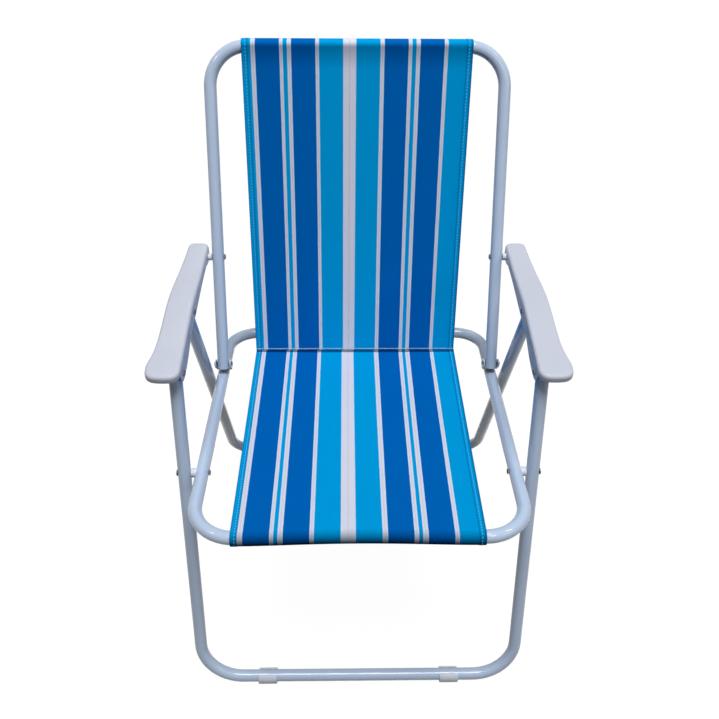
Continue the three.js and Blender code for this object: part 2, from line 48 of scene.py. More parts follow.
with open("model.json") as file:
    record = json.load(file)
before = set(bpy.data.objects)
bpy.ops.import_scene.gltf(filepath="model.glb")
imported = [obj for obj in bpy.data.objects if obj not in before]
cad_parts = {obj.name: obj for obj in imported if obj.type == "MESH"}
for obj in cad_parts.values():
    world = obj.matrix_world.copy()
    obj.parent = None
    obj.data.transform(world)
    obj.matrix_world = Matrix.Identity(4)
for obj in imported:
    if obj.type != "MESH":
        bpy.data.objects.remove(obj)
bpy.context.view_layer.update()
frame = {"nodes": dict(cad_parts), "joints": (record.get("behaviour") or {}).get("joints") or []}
pivots = {joint["name"]: Vector(joint["pos_m"]) for joint in frame["joints"]}

ACROSS = Vector((1, 0, 0))
SIDES = {"left": -1, "right": 1}

# Tubes of the frame, in metres
TUBE_RADIUS = 0.009
TUBE_WALL = 0.001
TUBE_LIP = 0.0004
TUBE_POINTS_ROUND = 40
BEND_STEPS = 14
BAR_STEPS = 16
ROUND_POINTS = 36
LEG_HALF_WIDTH = 0.2385
LEG_CORNER = 0.062
FLOOR_BAR_HEIGHT = 0.012
FRONT_LEG_TO_SEAT = 0.3621
FRONT_LEG_ABOVE_SEAT = 0.1481
FRONT_LEG_END = 0.0065
REAR_LEG_END = 0.0055
FOOT_SPREAD = 0.4618
SEAT_HALF_WIDTH = 0.21425
SEAT_FRONT_REACH = 0.115
SEAT_REAR_REACH = 0.3397
SEAT_FRONT_CORNER = 0.0565
SEAT_REAR_CORNER = 0.046
SEAT_SLOPE = math.radians(5.65)
SEAT_JOINT = 0.0002
SEAT_BAR_BOW = 0.0034
BACK_LENGTH = 0.4674
BACK_LEAN = math.radians(24.83)
BACK_FOOT_HALF_WIDTH = 0.2121
BACK_TOP_HALF_WIDTH = 0.2101
BACK_CORNER = 0.055
BACK_TUBE_END = 0.007

# Armrest: places along it from the front rivet, across it from its inner face, and up from
# the line of its two end rivets
ARMREST_LINK = 0.24415
ARMREST_INNER = 0.227
ARMREST_WALL = 0.002
ARMREST_THICK = 0.024
ARMREST_EDGE = 0.0062
ARMREST_ROWS = (
    (-0.0120, 0.0454, 0.0196, 0.0074),
    (-0.0020, 0.0454, 0.0200, 0.0060),
    (0.0100, 0.0425, 0.0205, 0.0045),
    (0.0240, 0.0398, 0.0210, 0.0030),
    (0.0400, 0.0382, 0.0218, 0.0016),
    (0.0620, 0.0375, 0.0228, 0.0006),
    (0.0840, 0.0374, 0.0235, 0.0),
    (0.1060, 0.0373, 0.0238, 0.0),
    (0.1280, 0.03715, 0.0226, 0.0),
    (0.1500, 0.0366, 0.0198, 0.0),
    (0.1720, 0.0356, 0.0168, 0.0),
    (0.1940, 0.0342, 0.0144, -0.0006),
    (0.2160, 0.0328, 0.0128, -0.0022),
    (0.2380, 0.0314, 0.0118, -0.0036),
    (0.2570, 0.0304, 0.0110, -0.0042),
)
ARMREST_NOSE = (
    (-0.0182, 0.0442), (-0.0226, 0.0409), (-0.0257, 0.0358), (-0.02705, 0.0291),
    (-0.0274, 0.0206), (-0.02705, 0.0131), (-0.0256, 0.0080), (-0.0226, 0.0038),
    (-0.0182, 0.00115),
)
ARMREST_TAIL = (
    (0.2615, 0.0010), (0.2646, 0.0036), (0.2660, 0.0076), (0.2664, 0.0150),
    (0.2660, 0.0230), (0.2646, 0.0272), (0.2615, 0.0296),
)
ARMREST_NOSE_LOW = 0.0092
FRONT_LOBE = (
    (-0.0140, 0.0110), (-0.0135, 0.0030), (-0.0115, -0.0030), (-0.0075, -0.0074),
    (0.0, -0.0092), (0.0100, -0.0095), (0.0200, -0.0091), (0.0340, -0.0074),
    (0.0480, -0.0044), (0.0620, -0.0008), (0.0740, 0.0030), (0.0740, 0.0110),
)
REAR_LOBE = (
    (-0.0322, 0.0030), (-0.0222, -0.0014), (-0.0141, -0.0056), (-0.0072, -0.0089),
    (0.0, -0.0102), (0.0069, -0.0090), (0.0124, -0.0054), (0.0148, 0.0), (0.0148, 0.0030),
)

# Cloth
CLOTH_THICKNESS = 0.0009
CLOTH_HEM_THICKNESS = 0.0014
CLOTH_OFFSET = 0.00985
HEM_WIDTH = 0.0085
HEM_STITCH = 0.0056
SEAT_CLOTH_HALF_WIDTH = 0.1605
BACK_CLOTH_HALF_WIDTH = 0.1625
SEAM_REACH = 0.2732
SEAT_CLOTH_DRIFT = -0.0026
SEAT_CLOTH_FRONT_SHARE = 0.9925
SEAT_CLOTH_REAR_SHARE = 1.0155
BACK_CLOTH_DRIFTS = (-0.0008, -0.0032)
FLAP_LENGTH = 0.030
FLAP_SEWN = 0.026
TUCK = 0.012
CLOTH_ROW = 0.006
LOOP_STEPS = 22

# Small pieces
RIVET_SHANK = 0.0025
RIVET_BORE_SHARE = 0.46
RIVET_DARK_SHARE = 0.86
SPACER_BORE = 0.0028
SPACER_EDGE = 0.0008
BRACKET_EDGE = 0.0004
GLIDE_EDGE = 0.0008
DOUBLE_DISTANCE = 0.00001

# Stripes as shares of the cloth's width, from its left edge
SEAT_WHITE = (
    (0.028, 0.049), (0.153, 0.1685), (0.185, 0.205), (0.309, 0.326), (0.431, 0.4895),
    (0.594, 0.615), (0.7185, 0.736), (0.752, 0.773), (0.877, 0.894),
)
SEAT_LIGHT = ((-1.0, 0.038), (0.160, 0.195), (0.3175, 0.605), (0.727, 0.7625), (0.8855, 2.0))
BACK_WHITE = (
    (0.0405, 0.059), (0.1636, 0.178), (0.197, 0.214), (0.319, 0.334), (0.439, 0.495),
    (0.600, 0.617), (0.721, 0.7365), (0.755, 0.772), (0.876, 0.8915),
)
BACK_LIGHT = ((-1.0, 0.050), (0.171, 0.2055), (0.3265, 0.6085), (0.729, 0.7635), (0.884, 2.0))


# Directions in the side plane, y to the back and z up
def side_vector(y, z):
    return Vector((0, y, z))


def quarter_turn(direction):
    return side_vector(-direction.z, direction.y)


front_bar_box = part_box("front_leg")
front_foot = side_vector(front_bar_box[0][1] + TUBE_RADIUS, FLOOR_BAR_HEIGHT)
leg_pivot = pivots["front_leg_fold"]
back_pivot = pivots["back_fold"]
rear_armrest_pivot = pivots["armrest_fold"]
middle_armrest_pivot = pivots["rear_leg_fold"]
front_leg_up = (leg_pivot - front_foot).normalized()
front_armrest_pivot = leg_pivot + front_leg_up * FRONT_LEG_ABOVE_SEAT
armrest_back = (rear_armrest_pivot - front_armrest_pivot).normalized()
armrest_up = quarter_turn(armrest_back)
seat_back = side_vector(math.cos(SEAT_SLOPE), -math.sin(SEAT_SLOPE))
seat_up = quarter_turn(seat_back)
seat_front_bar = leg_pivot - seat_back * SEAT_FRONT_REACH
seat_rear_bar = leg_pivot + seat_back * SEAT_REAR_REACH
back_up = side_vector(math.sin(BACK_LEAN), math.cos(BACK_LEAN))
back_top_bar = back_pivot + back_up * BACK_LENGTH
rear_foot = front_foot + side_vector(FOOT_SPREAD, 0)
rear_leg_up = (middle_armrest_pivot - rear_foot).normalized()


# Shader maths: Python sums on a wrapped socket add Math nodes
class Wire:
    """One socket of a material, with the sums that its patterns need"""

    def __init__(self, finish, socket):
        self.finish = finish
        self.socket = socket

    def math(self, operation, *others):
        values = {0: self}
        values.update({index + 1: other for index, other in enumerate(others)})
        made = self.finish.node("ShaderNodeMath", {"operation": operation}, values)
        return Wire(self.finish, made.outputs[0])

    def __add__(self, other):
        return self.math("ADD", other)

    def __radd__(self, other):
        return self.math("ADD", other)

    def __sub__(self, other):
        return self.math("SUBTRACT", other)

    def __rsub__(self, other):
        return (self * -1) + other

    def __mul__(self, other):
        return self.math("MULTIPLY", other)

    def __rmul__(self, other):
        return self.math("MULTIPLY", other)

    def sine(self):
        return self.math("SINE")

    def above(self, level, softness):
        return self.ramp(level - softness, level + softness)

    def ramp(self, low, high):
        scale = 1 / (high - low)
        return self.math("MULTIPLY_ADD", scale, -low * scale).math("MINIMUM", 1).math("MAXIMUM", 0)

    def band(self, low, high, softness):
        return self.above(low, softness) * (1 - self.above(high, softness))

    def either(self, other):
        return self.math("MAXIMUM", other)


class Finish:
    """The nodes of a material or of the sky, with one way to make a node"""

    def __init__(self, owner):
        owner.use_nodes = True
        self.owner = owner
        self.tree = owner.node_tree
        self.tree.nodes.clear()

    def node(self, kind, settings=None, values=None):
        made = self.tree.nodes.new(kind)
        for name, setting in (settings or {}).items():
            if name == "stops":
                self.set_stops(made.color_ramp, setting)
            else:
                setattr(made, name, setting)
        for socket, value in (values or {}).items():
            if isinstance(value, Wire):
                self.tree.links.new(value.socket, made.inputs[socket])
            else:
                made.inputs[socket].default_value = value
        return made

    def set_stops(self, ramp, stops):
        while len(ramp.elements) < len(stops):
            ramp.elements.new(1)
        for element, (place, colour) in zip(ramp.elements, stops):
            element.position = place
            element.color = colour

    def wire(self, node, output=0):
        return Wire(self, node.outputs[output])

    def object_places(self):
        return self.wire(self.node("ShaderNodeTexCoord"), "Object")

    def cloth_places(self, width, length):
        uv = self.wire(self.node("ShaderNodeUVMap", {"uv_map": "weave"}))
        split = self.node("ShaderNodeSeparateXYZ", None, {0: uv})
        across = self.wire(split, "X")
        return across, across * width, self.wire(split, "Y") * length

    def point(self, across, along, level=0):
        return self.wire(self.node("ShaderNodeCombineXYZ", None, {0: across, 1: along, 2: level}))

    def stretched(self, places, scale):
        values = {"Vector": places, "Scale": scale}
        return self.wire(self.node("ShaderNodeMapping", {"vector_type": "POINT"}, values))

    def noise(self, places, scale, detail=2.0, roughness=0.5):
        values = {"Vector": places, "Scale": scale, "Detail": detail, "Roughness": roughness}
        return self.wire(self.node("ShaderNodeTexNoise", {"noise_dimensions": "3D"}, values), 0)

    def cells(self, places, scale, feature="F1"):
        values = {"Vector": places, "Scale": scale}
        made = self.node("ShaderNodeTexVoronoi", {"feature": feature}, values)
        return self.wire(made, "Distance")

    def blend(self, share, first, second, how="MIX"):
        settings = {"data_type": "RGBA", "blend_type": how}
        return self.wire(self.node("ShaderNodeMix", settings, {0: share, 6: first, 7: second}), 2)

    def bump(self, height, depth, strength=1.0):
        values = {"Height": height, "Distance": depth, "Strength": strength}
        return self.wire(self.node("ShaderNodeBump", None, values))

    def seen(self):
        """1 for what the camera, a reflection or a clear thing shows, else 0"""
        rays = self.node("ShaderNodeLightPath")
        found = self.wire(rays, "Is Camera Ray").either(self.wire(rays, "Is Glossy Ray"))
        return found.either(self.wire(rays, "Is Transmission Ray"))

    def surface(self, values):
        shader = self.node("ShaderNodeBsdfPrincipled", None, values)
        self.node("ShaderNodeOutputMaterial", None, {"Surface": self.wire(shader)})
        return self.owner


def new_finish(name):
    return Finish(bpy.data.materials.new(name))


def tube_paint(colour, roughness):
    finish = new_finish("tube_paint")
    places = finish.object_places()
    split = finish.node("ShaderNodeSeparateXYZ", None, {0: places})
    clouds = finish.noise(places, 9, 3)
    flecks = finish.noise(places, 420, 2, 0.6)
    peel = finish.noise(places, 700, 2)
    streaks = finish.noise(finish.stretched(places, (1, 0.12, 0.12)), 260, 4, 0.7)
    scuffed = (1 - finish.wire(split, "Z").ramp(0.0028, 0.0052)) * flecks.ramp(0.35, 0.6)
    chips = flecks.ramp(0.725, 0.745) * clouds.ramp(0.5, 0.6)
    bare = scuffed.either(chips)
    tint = finish.blend(clouds.ramp(0.35, 0.65), colour, shaded(colour, 0.95))
    tint = finish.blend(streaks.ramp(0.62, 0.8) * 0.35, tint, shaded(colour, 0.86))
    tint = finish.blend(bare, tint, (0.30, 0.31, 0.33, 1))
    # Painted shade: near black over the bracket and seat tube just below the back tube's lower
    # ends
    tint = finish.blend(hinge_painted_shade(finish, split) * 0.93, tint, (0.012, 0.016, 0.024, 1))
    rough = (clouds * 0.08) + (streaks.ramp(0.55, 0.8) * 0.08) + (bare * 0.2) + (roughness - 0.04)
    return finish.surface({
        "Base Color": tint,
        "Roughness": rough,
        "Metallic": bare * 0.8,
        "Coat Weight": (1 - bare) * 0.5,
        "Coat Roughness": 0.05,
        "Specular IOR Level": 0.2,
        "Normal": finish.bump(peel * 0.6 + streaks * 0.4 - bare * 1.5, 0.000014),
    })


def hinge_painted_shade(finish, split):
    """Painted shade in the gap under the open lower ends of the back's tube"""
    across = finish.wire(split, "X").math("ABSOLUTE") - BACK_FOOT_HALF_WIDTH
    y = finish.wire(split, "Y") - back_pivot.y
    z = finish.wire(split, "Z") - back_pivot.z
    along = y * back_up.y + z * back_up.z
    outward = z * back_up.y - y * back_up.z
    plate = along.band(-0.0118, -0.0074, 0.0004) * outward.band(-0.016, 0.0052, 0.0006)
    return plate * across.band(-0.0056, 0.0056, 0.0012)


def moulded_plastic(name, colour, roughness, grain):
    finish = new_finish(name)
    places = finish.object_places()
    clouds = finish.noise(places, 16, 3)
    flow = finish.noise(finish.stretched(places, (1, 0.2, 1)), 120, 3)
    pores = finish.cells(places, grain)
    rubbed = finish.noise(places, 60, 4, 0.65)
    tint = finish.blend(clouds.ramp(0.35, 0.7) * 0.6, colour, shaded(colour, 0.955))
    tint = finish.blend(rubbed.ramp(0.62, 0.78) * 0.25, tint, (0.70, 0.70, 0.70, 1))
    rough = (rubbed * 0.14) + (roughness - 0.07)
    height = pores * 0.5 + flow * 0.3 + rubbed * 0.2
    return finish.surface({
        "Base Color": tint,
        "Roughness": rough,
        "Specular IOR Level": 0.3,
        "Normal": finish.bump(height, 0.00007),
    })


def rivet_metal(colour):
    finish = new_finish("rivet_metal")
    places = finish.object_places()
    marks = finish.noise(finish.stretched(places, (0.25, 1, 1)), 900, 3, 0.6)
    stains = finish.noise(places, 260, 3)
    tint = finish.blend(stains.ramp(0.5, 0.75) * 0.4, colour, (0.24, 0.22, 0.20, 1))
    return finish.surface({
        "Base Color": tint,
        "Metallic": 1 - stains.ramp(0.5, 0.75) * 0.35,
        "Roughness": marks * 0.25 + 0.22,
        "Normal": finish.bump(marks, 0.00005),
    })


def rivet_bore():
    # Painted shade: the rivet's bore and the inner part of its rolled rim are near black, mottled
    # at random
    finish = new_finish("rivet_bore")
    hollow_shade_mottle = finish.noise(finish.object_places(), 500, 3)
    tint = finish.blend(hollow_shade_mottle, (0.006, 0.006, 0.007, 1), (0.03, 0.028, 0.026, 1))
    return finish.surface({"Base Color": tint, "Roughness": hollow_shade_mottle * 0.2 + 0.6})


def sewing_thread(name, colour):
    finish = new_finish(name)
    places = finish.object_places()
    twist = finish.noise(finish.stretched(places, (1, 0.4, 0.4)), 2600, 2)
    tint = finish.blend(twist, colour, shaded(colour, 0.75))
    return finish.surface({
        "Base Color": tint,
        "Roughness": twist * 0.1 + 0.55,
        "Normal": finish.bump(twist, 0.0001),
    })


def striped_cloth(name, width, length, white, light, colours, shades, seam_edge=None):
    """Woven stripes; shades are bands of painted shade as (start, its softness, end, its softness,
    strength)
    """
    blue, light_blue, pale = colours
    finish = new_finish(name)
    share, across, along = finish.cloth_places(width, length)
    yarn = finish.noise(finish.point(across * 1400, along * 40), 1, 2, 0.6)
    weft = finish.noise(finish.point(across * 30, along * 1300), 1, 2, 0.6)
    worn = finish.noise(finish.point(across, along), 14, 4, 0.6)
    wander = (finish.noise(finish.point(across * 0.2, along), 60, 2) - 0.5) * 0.0016
    place = share + wander
    soft = 0.0011
    light_share = stripes(place, light, soft)
    white_share = stripes(place, white, soft)
    edge_share = stripe_edges(place, white, soft)
    middle_share = stripe_middles(place, white)
    tint = finish.blend(light_share, blue, light_blue)
    tint = finish.blend(white_share, tint, pale)
    patches = finish.noise(finish.point(across, along), 130, 3, 0.6).ramp(0.35, 0.65)
    grey = middle_share * white_share * (patches * 0.35 + 0.2)
    tint = finish.blend(grey, tint, (0.47, 0.45, 0.53, 1))
    tint = finish.blend(edge_share * white_share * 0.6, tint, (0.58, 0.76, 0.92, 1))
    # Painted shade: darker lines along both outer edges of the cloth and along each hem's fold,
    # and a darker band at the cloth's right edge
    inset = ((share - 0.5).math("ABSOLUTE") * -1 + 0.5) * width
    rim = (1 - inset.above(0.0011, 0.0006)) * 0.6
    fold = inset.band(HEM_WIDTH - 0.0007, HEM_WIDTH + 0.0007, 0.0004) * 0.55
    right_edge_shade = place.above(1 - 0.0028 / width, 0.003) * 0.6
    hem_shade = rim.either(fold).either(right_edge_shade)
    tint = finish.blend(hem_shade, tint, (0.10, 0.28, 0.38, 1), "MULTIPLY")
    # Painted shade in bands along the cloth
    for start, start_softness, end, end_softness, strength in shades:
        dim = along.above(start, start_softness) * (1 - along.above(end, end_softness)) * strength
        tint = finish.blend(dim, tint, (0.05, 0.10, 0.16, 1), "MULTIPLY")
    if seam_edge is not None:
        # Painted highlight: a pale, patchy line along the cloth's bend at the seam
        seam_highlight = along.band(seam_edge, seam_edge + 0.0016, 0.0003)
        tint = finish.blend(seam_highlight * (patches * 0.4 + 0.4), tint, (0.45, 0.72, 0.92, 1))
    tint = finish.blend(yarn.ramp(0.3, 0.7) * 0.5, tint, (0.88, 0.89, 0.92, 1), "MULTIPLY")
    tint = finish.blend(worn.ramp(0.45, 0.8) * 0.3, tint, (0.88, 0.90, 0.92, 1), "MULTIPLY")
    pitch = math.pi / 0.00075
    weave = (across * pitch).sine() * (along * pitch).sine() * 0.5 + 0.5
    height = weave * 0.6 + yarn * 0.25 + weft * 0.25
    return finish.surface({
        "Base Color": tint,
        "Roughness": weave * -0.08 + (yarn * 0.12 + 0.74),
        "Specular IOR Level": 0.0,
        "Normal": finish.bump(height, 0.00022, 0.7),
    })


def shaded(colour, share):
    return tuple(value * share for value in colour[:3]) + (1,)


def total_of(masks):
    total, *others = masks
    for mask in others:
        total = total + mask
    return total


def stripes(place, bands, soft):
    return total_of(place.band(low, high, soft) for low, high in bands)


def stripe_edges(place, bands, soft):
    left = [place.band(low - soft, low + soft * 2, soft) for low, high in bands]
    right = [place.band(high - soft * 2, high + soft, soft) for low, high in bands]
    return total_of(left + right)


def stripe_middles(place, bands):
    middles = [(low + high) / 2 for low, high in bands]
    return total_of(place.band(middle - 0.0022, middle + 0.0022, 0.0014) for middle in middles)


# Shapes
def new_piece(bm, name, material, sharp=40):
    bm.normal_update()
    mesh = bpy.data.meshes.new(name)
    bm.to_mesh(mesh)
    bm.free()
    mesh.shade_smooth()
    mesh.set_sharp_from_angle(angle=math.radians(sharp))
    mesh.materials.append(material)
    made = bpy.data.objects.new(name, mesh)
    bpy.context.scene.collection.objects.link(made)
    return made


def modify(made, name, kind, **settings):
    modifier = made.modifiers.new(name, kind)
    for key, value in settings.items():
        setattr(modifier, key, value)
    return modifier


def mirror_across(bm):
    bmesh.ops.scale(bm, vec=(-1, 1, 1), verts=bm.verts)
    bmesh.ops.reverse_faces(bm, faces=bm.faces)


class TubeBender:
    """Makes one tube in runs and bends, as a bending machine does"""

    def __init__(self, start, heading):
        self.bm = bmesh.new()
        self.place = start.copy()
        self.heading = heading.normalized()
        turn = self.heading.to_track_quat("Z", "X").to_matrix().to_4x4()
        ring = bmesh.ops.create_circle(
            self.bm, segments=TUBE_POINTS_ROUND, radius=TUBE_RADIUS,
            matrix=Matrix.Translation(start) @ turn,
        )
        self.take(ring["verts"])

    def take(self, geometry):
        self.verts = [item for item in geometry if isinstance(item, bmesh.types.BMVert)]
        found = set(self.verts)
        self.edges = [edge for edge in self.bm.edges if set(edge.verts) <= found]

    def run(self, length):
        made = bmesh.ops.extrude_edge_only(self.bm, edges=self.edges)["geom"]
        self.take(made)
        bmesh.ops.translate(self.bm, verts=self.verts, vec=self.heading * length)
        self.place = self.place + self.heading * length

    def bend(self, angle, radius, towards):
        centre = self.place + towards * radius
        axis = self.heading.cross(towards).normalized()
        made = bmesh.ops.spin(
            self.bm, geom=self.verts + self.edges, cent=centre, axis=axis,
            angle=angle, steps=BEND_STEPS, use_merge=False, use_duplicate=False,
        )["geom_last"]
        self.take(made)
        turn = Matrix.Rotation(angle, 3, axis)
        self.place = centre + turn @ (self.place - centre)
        self.heading = turn @ self.heading

    def first_run(self, length):
        """A run with a short lip, so that the turned-in wall shades only the tube's end"""
        self.run(TUBE_LIP)
        self.run(length - TUBE_LIP)

    def last_run(self, length):
        self.run(length - TUBE_LIP)
        self.run(TUBE_LIP)

    def finish(self, name, material):
        bmesh.ops.recalc_face_normals(self.bm, faces=self.bm.faces)
        made = new_piece(self.bm, name, material)
        modify(
            made, "wall", "SOLIDIFY", thickness=TUBE_WALL, offset=-1, use_rim=True,
            use_even_offset=True,
        )
        return made


def bent_frame(top, foot, top_half, foot_half, corner, ends):
    """One U of tube from its left free end round its cross bar to its right free end"""
    start = Vector((-top_half, top.y, top.z))
    turn_at = Vector((-foot_half, foot.y, foot.z))
    heading = (turn_at - start).normalized()
    start = start - heading * ends
    angle = math.acos(heading.dot(ACROSS))
    cut = corner * math.tan(angle / 2)
    towards = (ACROSS - heading * heading.dot(ACROSS)).normalized()
    tube = TubeBender(start, heading)
    tube.first_run((turn_at - start).length - cut)
    tube.bend(angle, corner, towards)
    tube.run(foot_half * 2 - cut * 2)
    inward = -(heading - ACROSS * heading.dot(ACROSS)).normalized()
    tube.bend(angle, corner, inward)
    tube.last_run((turn_at - start).length - cut)
    return tube


def turned(profile, centre):
    """A round piece on a line across the chair, from places across and radii"""
    bm = bmesh.new()
    verts = [bm.verts.new((across, centre.y, centre.z + radius)) for across, radius in profile]
    edges = [bm.edges.new(pair) for pair in zip(verts, verts[1:])]
    bmesh.ops.spin(
        bm, geom=verts + edges, cent=(0, centre.y, centre.z), axis=(1, 0, 0),
        angle=math.tau, steps=ROUND_POINTS, use_merge=True, use_duplicate=False,
    )
    bmesh.ops.remove_doubles(bm, verts=bm.verts, dist=DOUBLE_DISTANCE)
    bmesh.ops.recalc_face_normals(bm, faces=bm.faces)
    return bm


def softened_copy(node, name, material, width, sharp=35):
    """The CAD node's shape with its edges rounded over"""
    bm = bmesh.new()
    bm.from_mesh(frame["nodes"][node].data)
    bmesh.ops.remove_doubles(bm, verts=bm.verts, dist=DOUBLE_DISTANCE)
    bmesh.ops.dissolve_limit(
        bm, angle_limit=math.radians(1), verts=bm.verts, edges=bm.edges, delimit=set(),
    )
    limit = math.radians(sharp)
    edges = [edge for edge in bm.edges if edge.is_manifold and edge.calc_face_angle() > limit]
    bmesh.ops.bevel(
        bm, geom=edges, offset=width, offset_type="OFFSET", segments=3, profile=0.5,
        affect="EDGES", clamp_overlap=True, material=-1,
    )
    bmesh.ops.triangulate(bm, faces=[face for face in bm.faces if len(face.verts) > 4])
    return new_piece(bm, name, material, sharp)


def curve_through(points, steps):
    """Even curve through a closed list of pairs"""
    count = len(points)
    found = []
    for index in range(count):
        before, start, end, after = (points[(index + step) % count] for step in (-1, 0, 1, 2))
        for step in range(steps):
            share = step / steps
            found.append(tuple(
                catmull(before[axis], start[axis], end[axis], after[axis], share)
                for axis in range(2)
            ))
    return found


def catmull(before, start, end, after, share):
    return 0.5 * (
        2 * start + (end - before) * share
        + (2 * before - 5 * start + 4 * end - after) * share ** 2
        + (3 * start - before - 3 * end + after) * share ** 3
    )


def armrest_row(at, column):
    rows = ARMREST_ROWS
    if at <= rows[0][0]:
        return rows[0][column]
    for before, after in zip(rows, rows[1:]):
        if at <= after[0]:
            share = (at - before[0]) / (after[0] - before[0])
            share = share * share * (3 - 2 * share) * 0.35 + share * 0.65
            return before[column] + (after[column] - before[column]) * share
    return rows[-1][column]


def armrest_body():
    """The armrest's shell over a plan outline, bowed along its length, open below"""
    inner = [(row[0], 0) for row in ARMREST_ROWS]
    outer = [(row[0], row[1]) for row in reversed(ARMREST_ROWS)]
    outline = curve_through([*inner, *ARMREST_TAIL, *outer, *ARMREST_NOSE], 3)
    bm = bmesh.new()
    top = bm.faces.new([bm.verts.new((across, along, 0)) for along, across in outline])
    bm.normal_update()
    if top.normal.z < 0:
        bmesh.ops.reverse_faces(bm, faces=[top])
    rim = list(top.edges)
    made = bmesh.ops.extrude_face_region(bm, geom=[top], use_keep_orig=True)["geom"]
    lowered = [item for item in made if isinstance(item, bmesh.types.BMVert)]
    bmesh.ops.translate(bm, verts=lowered, vec=(0, 0, -ARMREST_THICK))
    underside = [item for item in made if isinstance(item, bmesh.types.BMFace)]
    bmesh.ops.delete(bm, geom=underside, context="FACES_ONLY")
    bmesh.ops.recalc_face_normals(bm, faces=bm.faces)
    bmesh.ops.bevel(
        bm, geom=rim, offset=ARMREST_EDGE, offset_type="OFFSET", segments=6, profile=0.5,
        affect="EDGES", clamp_overlap=True, material=-1,
    )
    start = ARMREST_NOSE[4][0]
    reach = ARMREST_TAIL[3][0] - start
    cuts = 30
    for cut in range(1, cuts):
        cut_across(bm, (0, start + reach * cut / cuts, 0), (0, 1, 0))
    for share in (0.3, 0.7):
        level = -ARMREST_THICK + (ARMREST_THICK - ARMREST_EDGE) * share
        cut_across(bm, (0, 0, level), (0, 0, 1))
    for vert in bm.verts:
        bow(vert)
    return bm


def cut_across(bm, place, direction):
    bmesh.ops.bisect_plane(
        bm, geom=[*bm.verts, *bm.edges, *bm.faces], dist=DOUBLE_DISTANCE,
        plane_co=place, plane_no=direction,
    )


def bow(vert):
    """Moves a point of the flat shell to the armrest's height at its place"""
    along = vert.co.y
    top = armrest_row(along, 2)
    low = armrest_row(along, 3) if along >= ARMREST_ROWS[0][0] else ARMREST_NOSE_LOW
    side = -vert.co.z - ARMREST_EDGE
    if side <= 0:
        vert.co.z = top + vert.co.z
        return
    share = side / (ARMREST_THICK - ARMREST_EDGE)
    vert.co.z = top - ARMREST_EDGE + (low - top + ARMREST_EDGE) * share


def armrest_lobe(bm, outline, origin):
    """A rounded plate that carries a rivet, on the armrest's inner wall"""
    verts = [bm.verts.new((0.0002, origin + along, up)) for along, up in outline]
    face = bm.faces.new(verts)
    made = bmesh.ops.extrude_face_region(bm, geom=[face], use_keep_orig=True)["geom"]
    moved = [item for item in made if isinstance(item, bmesh.types.BMVert)]
    bmesh.ops.translate(bm, verts=moved, vec=(ARMREST_WALL - 0.0003, 0, 0))
    plate = set(verts) | set(moved)
    faces = [item for item in bm.faces if set(item.verts) <= plate]
    bmesh.ops.recalc_face_normals(bm, faces=faces)
    edges = [item for item in bm.edges if set(item.verts) <= plate]
    sharp = [item for item in edges if item.calc_face_angle() > math.radians(60)]
    bmesh.ops.bevel(
        bm, geom=sharp, offset=0.0006, offset_type="OFFSET", segments=3, profile=0.5,
        affect="EDGES", clamp_overlap=True, material=-1,
    )


def set_on_armrest(bm, side):
    """Turns a shape from the armrest's own directions to its place on the chair"""
    turn = Matrix((
        (1, 0, 0, ARMREST_INNER),
        (0, armrest_back.y, armrest_up.y, front_armrest_pivot.y),
        (0, armrest_back.z, armrest_up.z, front_armrest_pivot.z),
        (0, 0, 0, 1),
    ))
    bmesh.ops.transform(bm, matrix=turn, verts=bm.verts)
    if side < 0:
        mirror_across(bm)


def rivet_profile(low, high, shank, head):
    """Tubular rivet from its inner to its outer head, with a rolled rim round each bore"""
    bore = head * RIVET_BORE_SHARE
    left = [
        (low + 0.0016, 0.0), (low + 0.0016, bore * 0.92), (low + 0.0004, bore),
        (low + 0.00005, bore * 1.14), (low, bore * 1.3), (low + 0.00012, bore * 1.52),
        (low + 0.00045, bore * 1.8), (low + 0.0008, head * 0.93), (low + 0.00115, head),
        (low + 0.00145, head * 0.985), (low + 0.0015, shank),
    ]
    return left + [(high - (place - low), radius) for place, radius in reversed(left)]


def ring_profile(low, high, bore, radius, edge):
    return [
        (low, bore), (low, radius - edge), (low + edge * 0.3, radius - edge * 0.3),
        (low + edge, radius), (high - edge, radius), (high - edge * 0.3, radius - edge * 0.3),
        (high, radius - edge), (high, bore), (low, bore),
    ]


# Cloth
class Trail:
    """A line in the side plane made of runs and arcs, for a cloth to follow"""

    def __init__(self, start):
        self.points = [start]

    def run(self, end):
        start = self.points[-1]
        steps = max(1, round((end - start).length / CLOTH_ROW))
        self.points += [start.lerp(end, step / steps) for step in range(1, steps + 1)]

    def arc(self, centre, radius, start, end):
        steps = max(3, round(abs(end - start) / math.tau * LOOP_STEPS * 2))
        for step in range(1, steps + 1):
            angle = start + (end - start) * step / steps
            self.points.append(centre + side_vector(math.cos(angle), math.sin(angle)) * radius)

    def length(self):
        return sum((end - start).length for start, end in zip(self.points, self.points[1:]))

    def shares(self):
        whole = self.length()
        found = [0.0]
        for start, end in zip(self.points, self.points[1:]):
            found.append(found[-1] + (end - start).length / whole)
        return found

    def outward(self, index):
        before = self.points[max(index - 1, 0)]
        after = self.points[min(index + 1, len(self.points) - 1)]
        return quarter_turn((after - before).normalized())

    def at(self, distance):
        """Place and outward direction at a distance along the line"""
        left = distance
        for index, (start, end) in enumerate(zip(self.points, self.points[1:])):
            step = (end - start).length
            if left <= step or index == len(self.points) - 2:
                along = (end - start).normalized()
                return start + along * left, along, quarter_turn(along)
            left -= step


def bar_bow(across):
    """How far the seat's front bar is pulled back by its cloth at a place across"""
    reach = SEAT_HALF_WIDTH - SEAT_FRONT_CORNER
    share = min(abs(across) / reach, 1)
    return SEAT_BAR_BOW * (1 - share * share) ** 2


def bar_droop(across):
    """How far the back's top bar has bent down at a place across"""
    past = max(abs(across) - BACK_TOP_HALF_WIDTH + BACK_CORNER, 0)
    return past * past / (2 * BACK_CORNER)


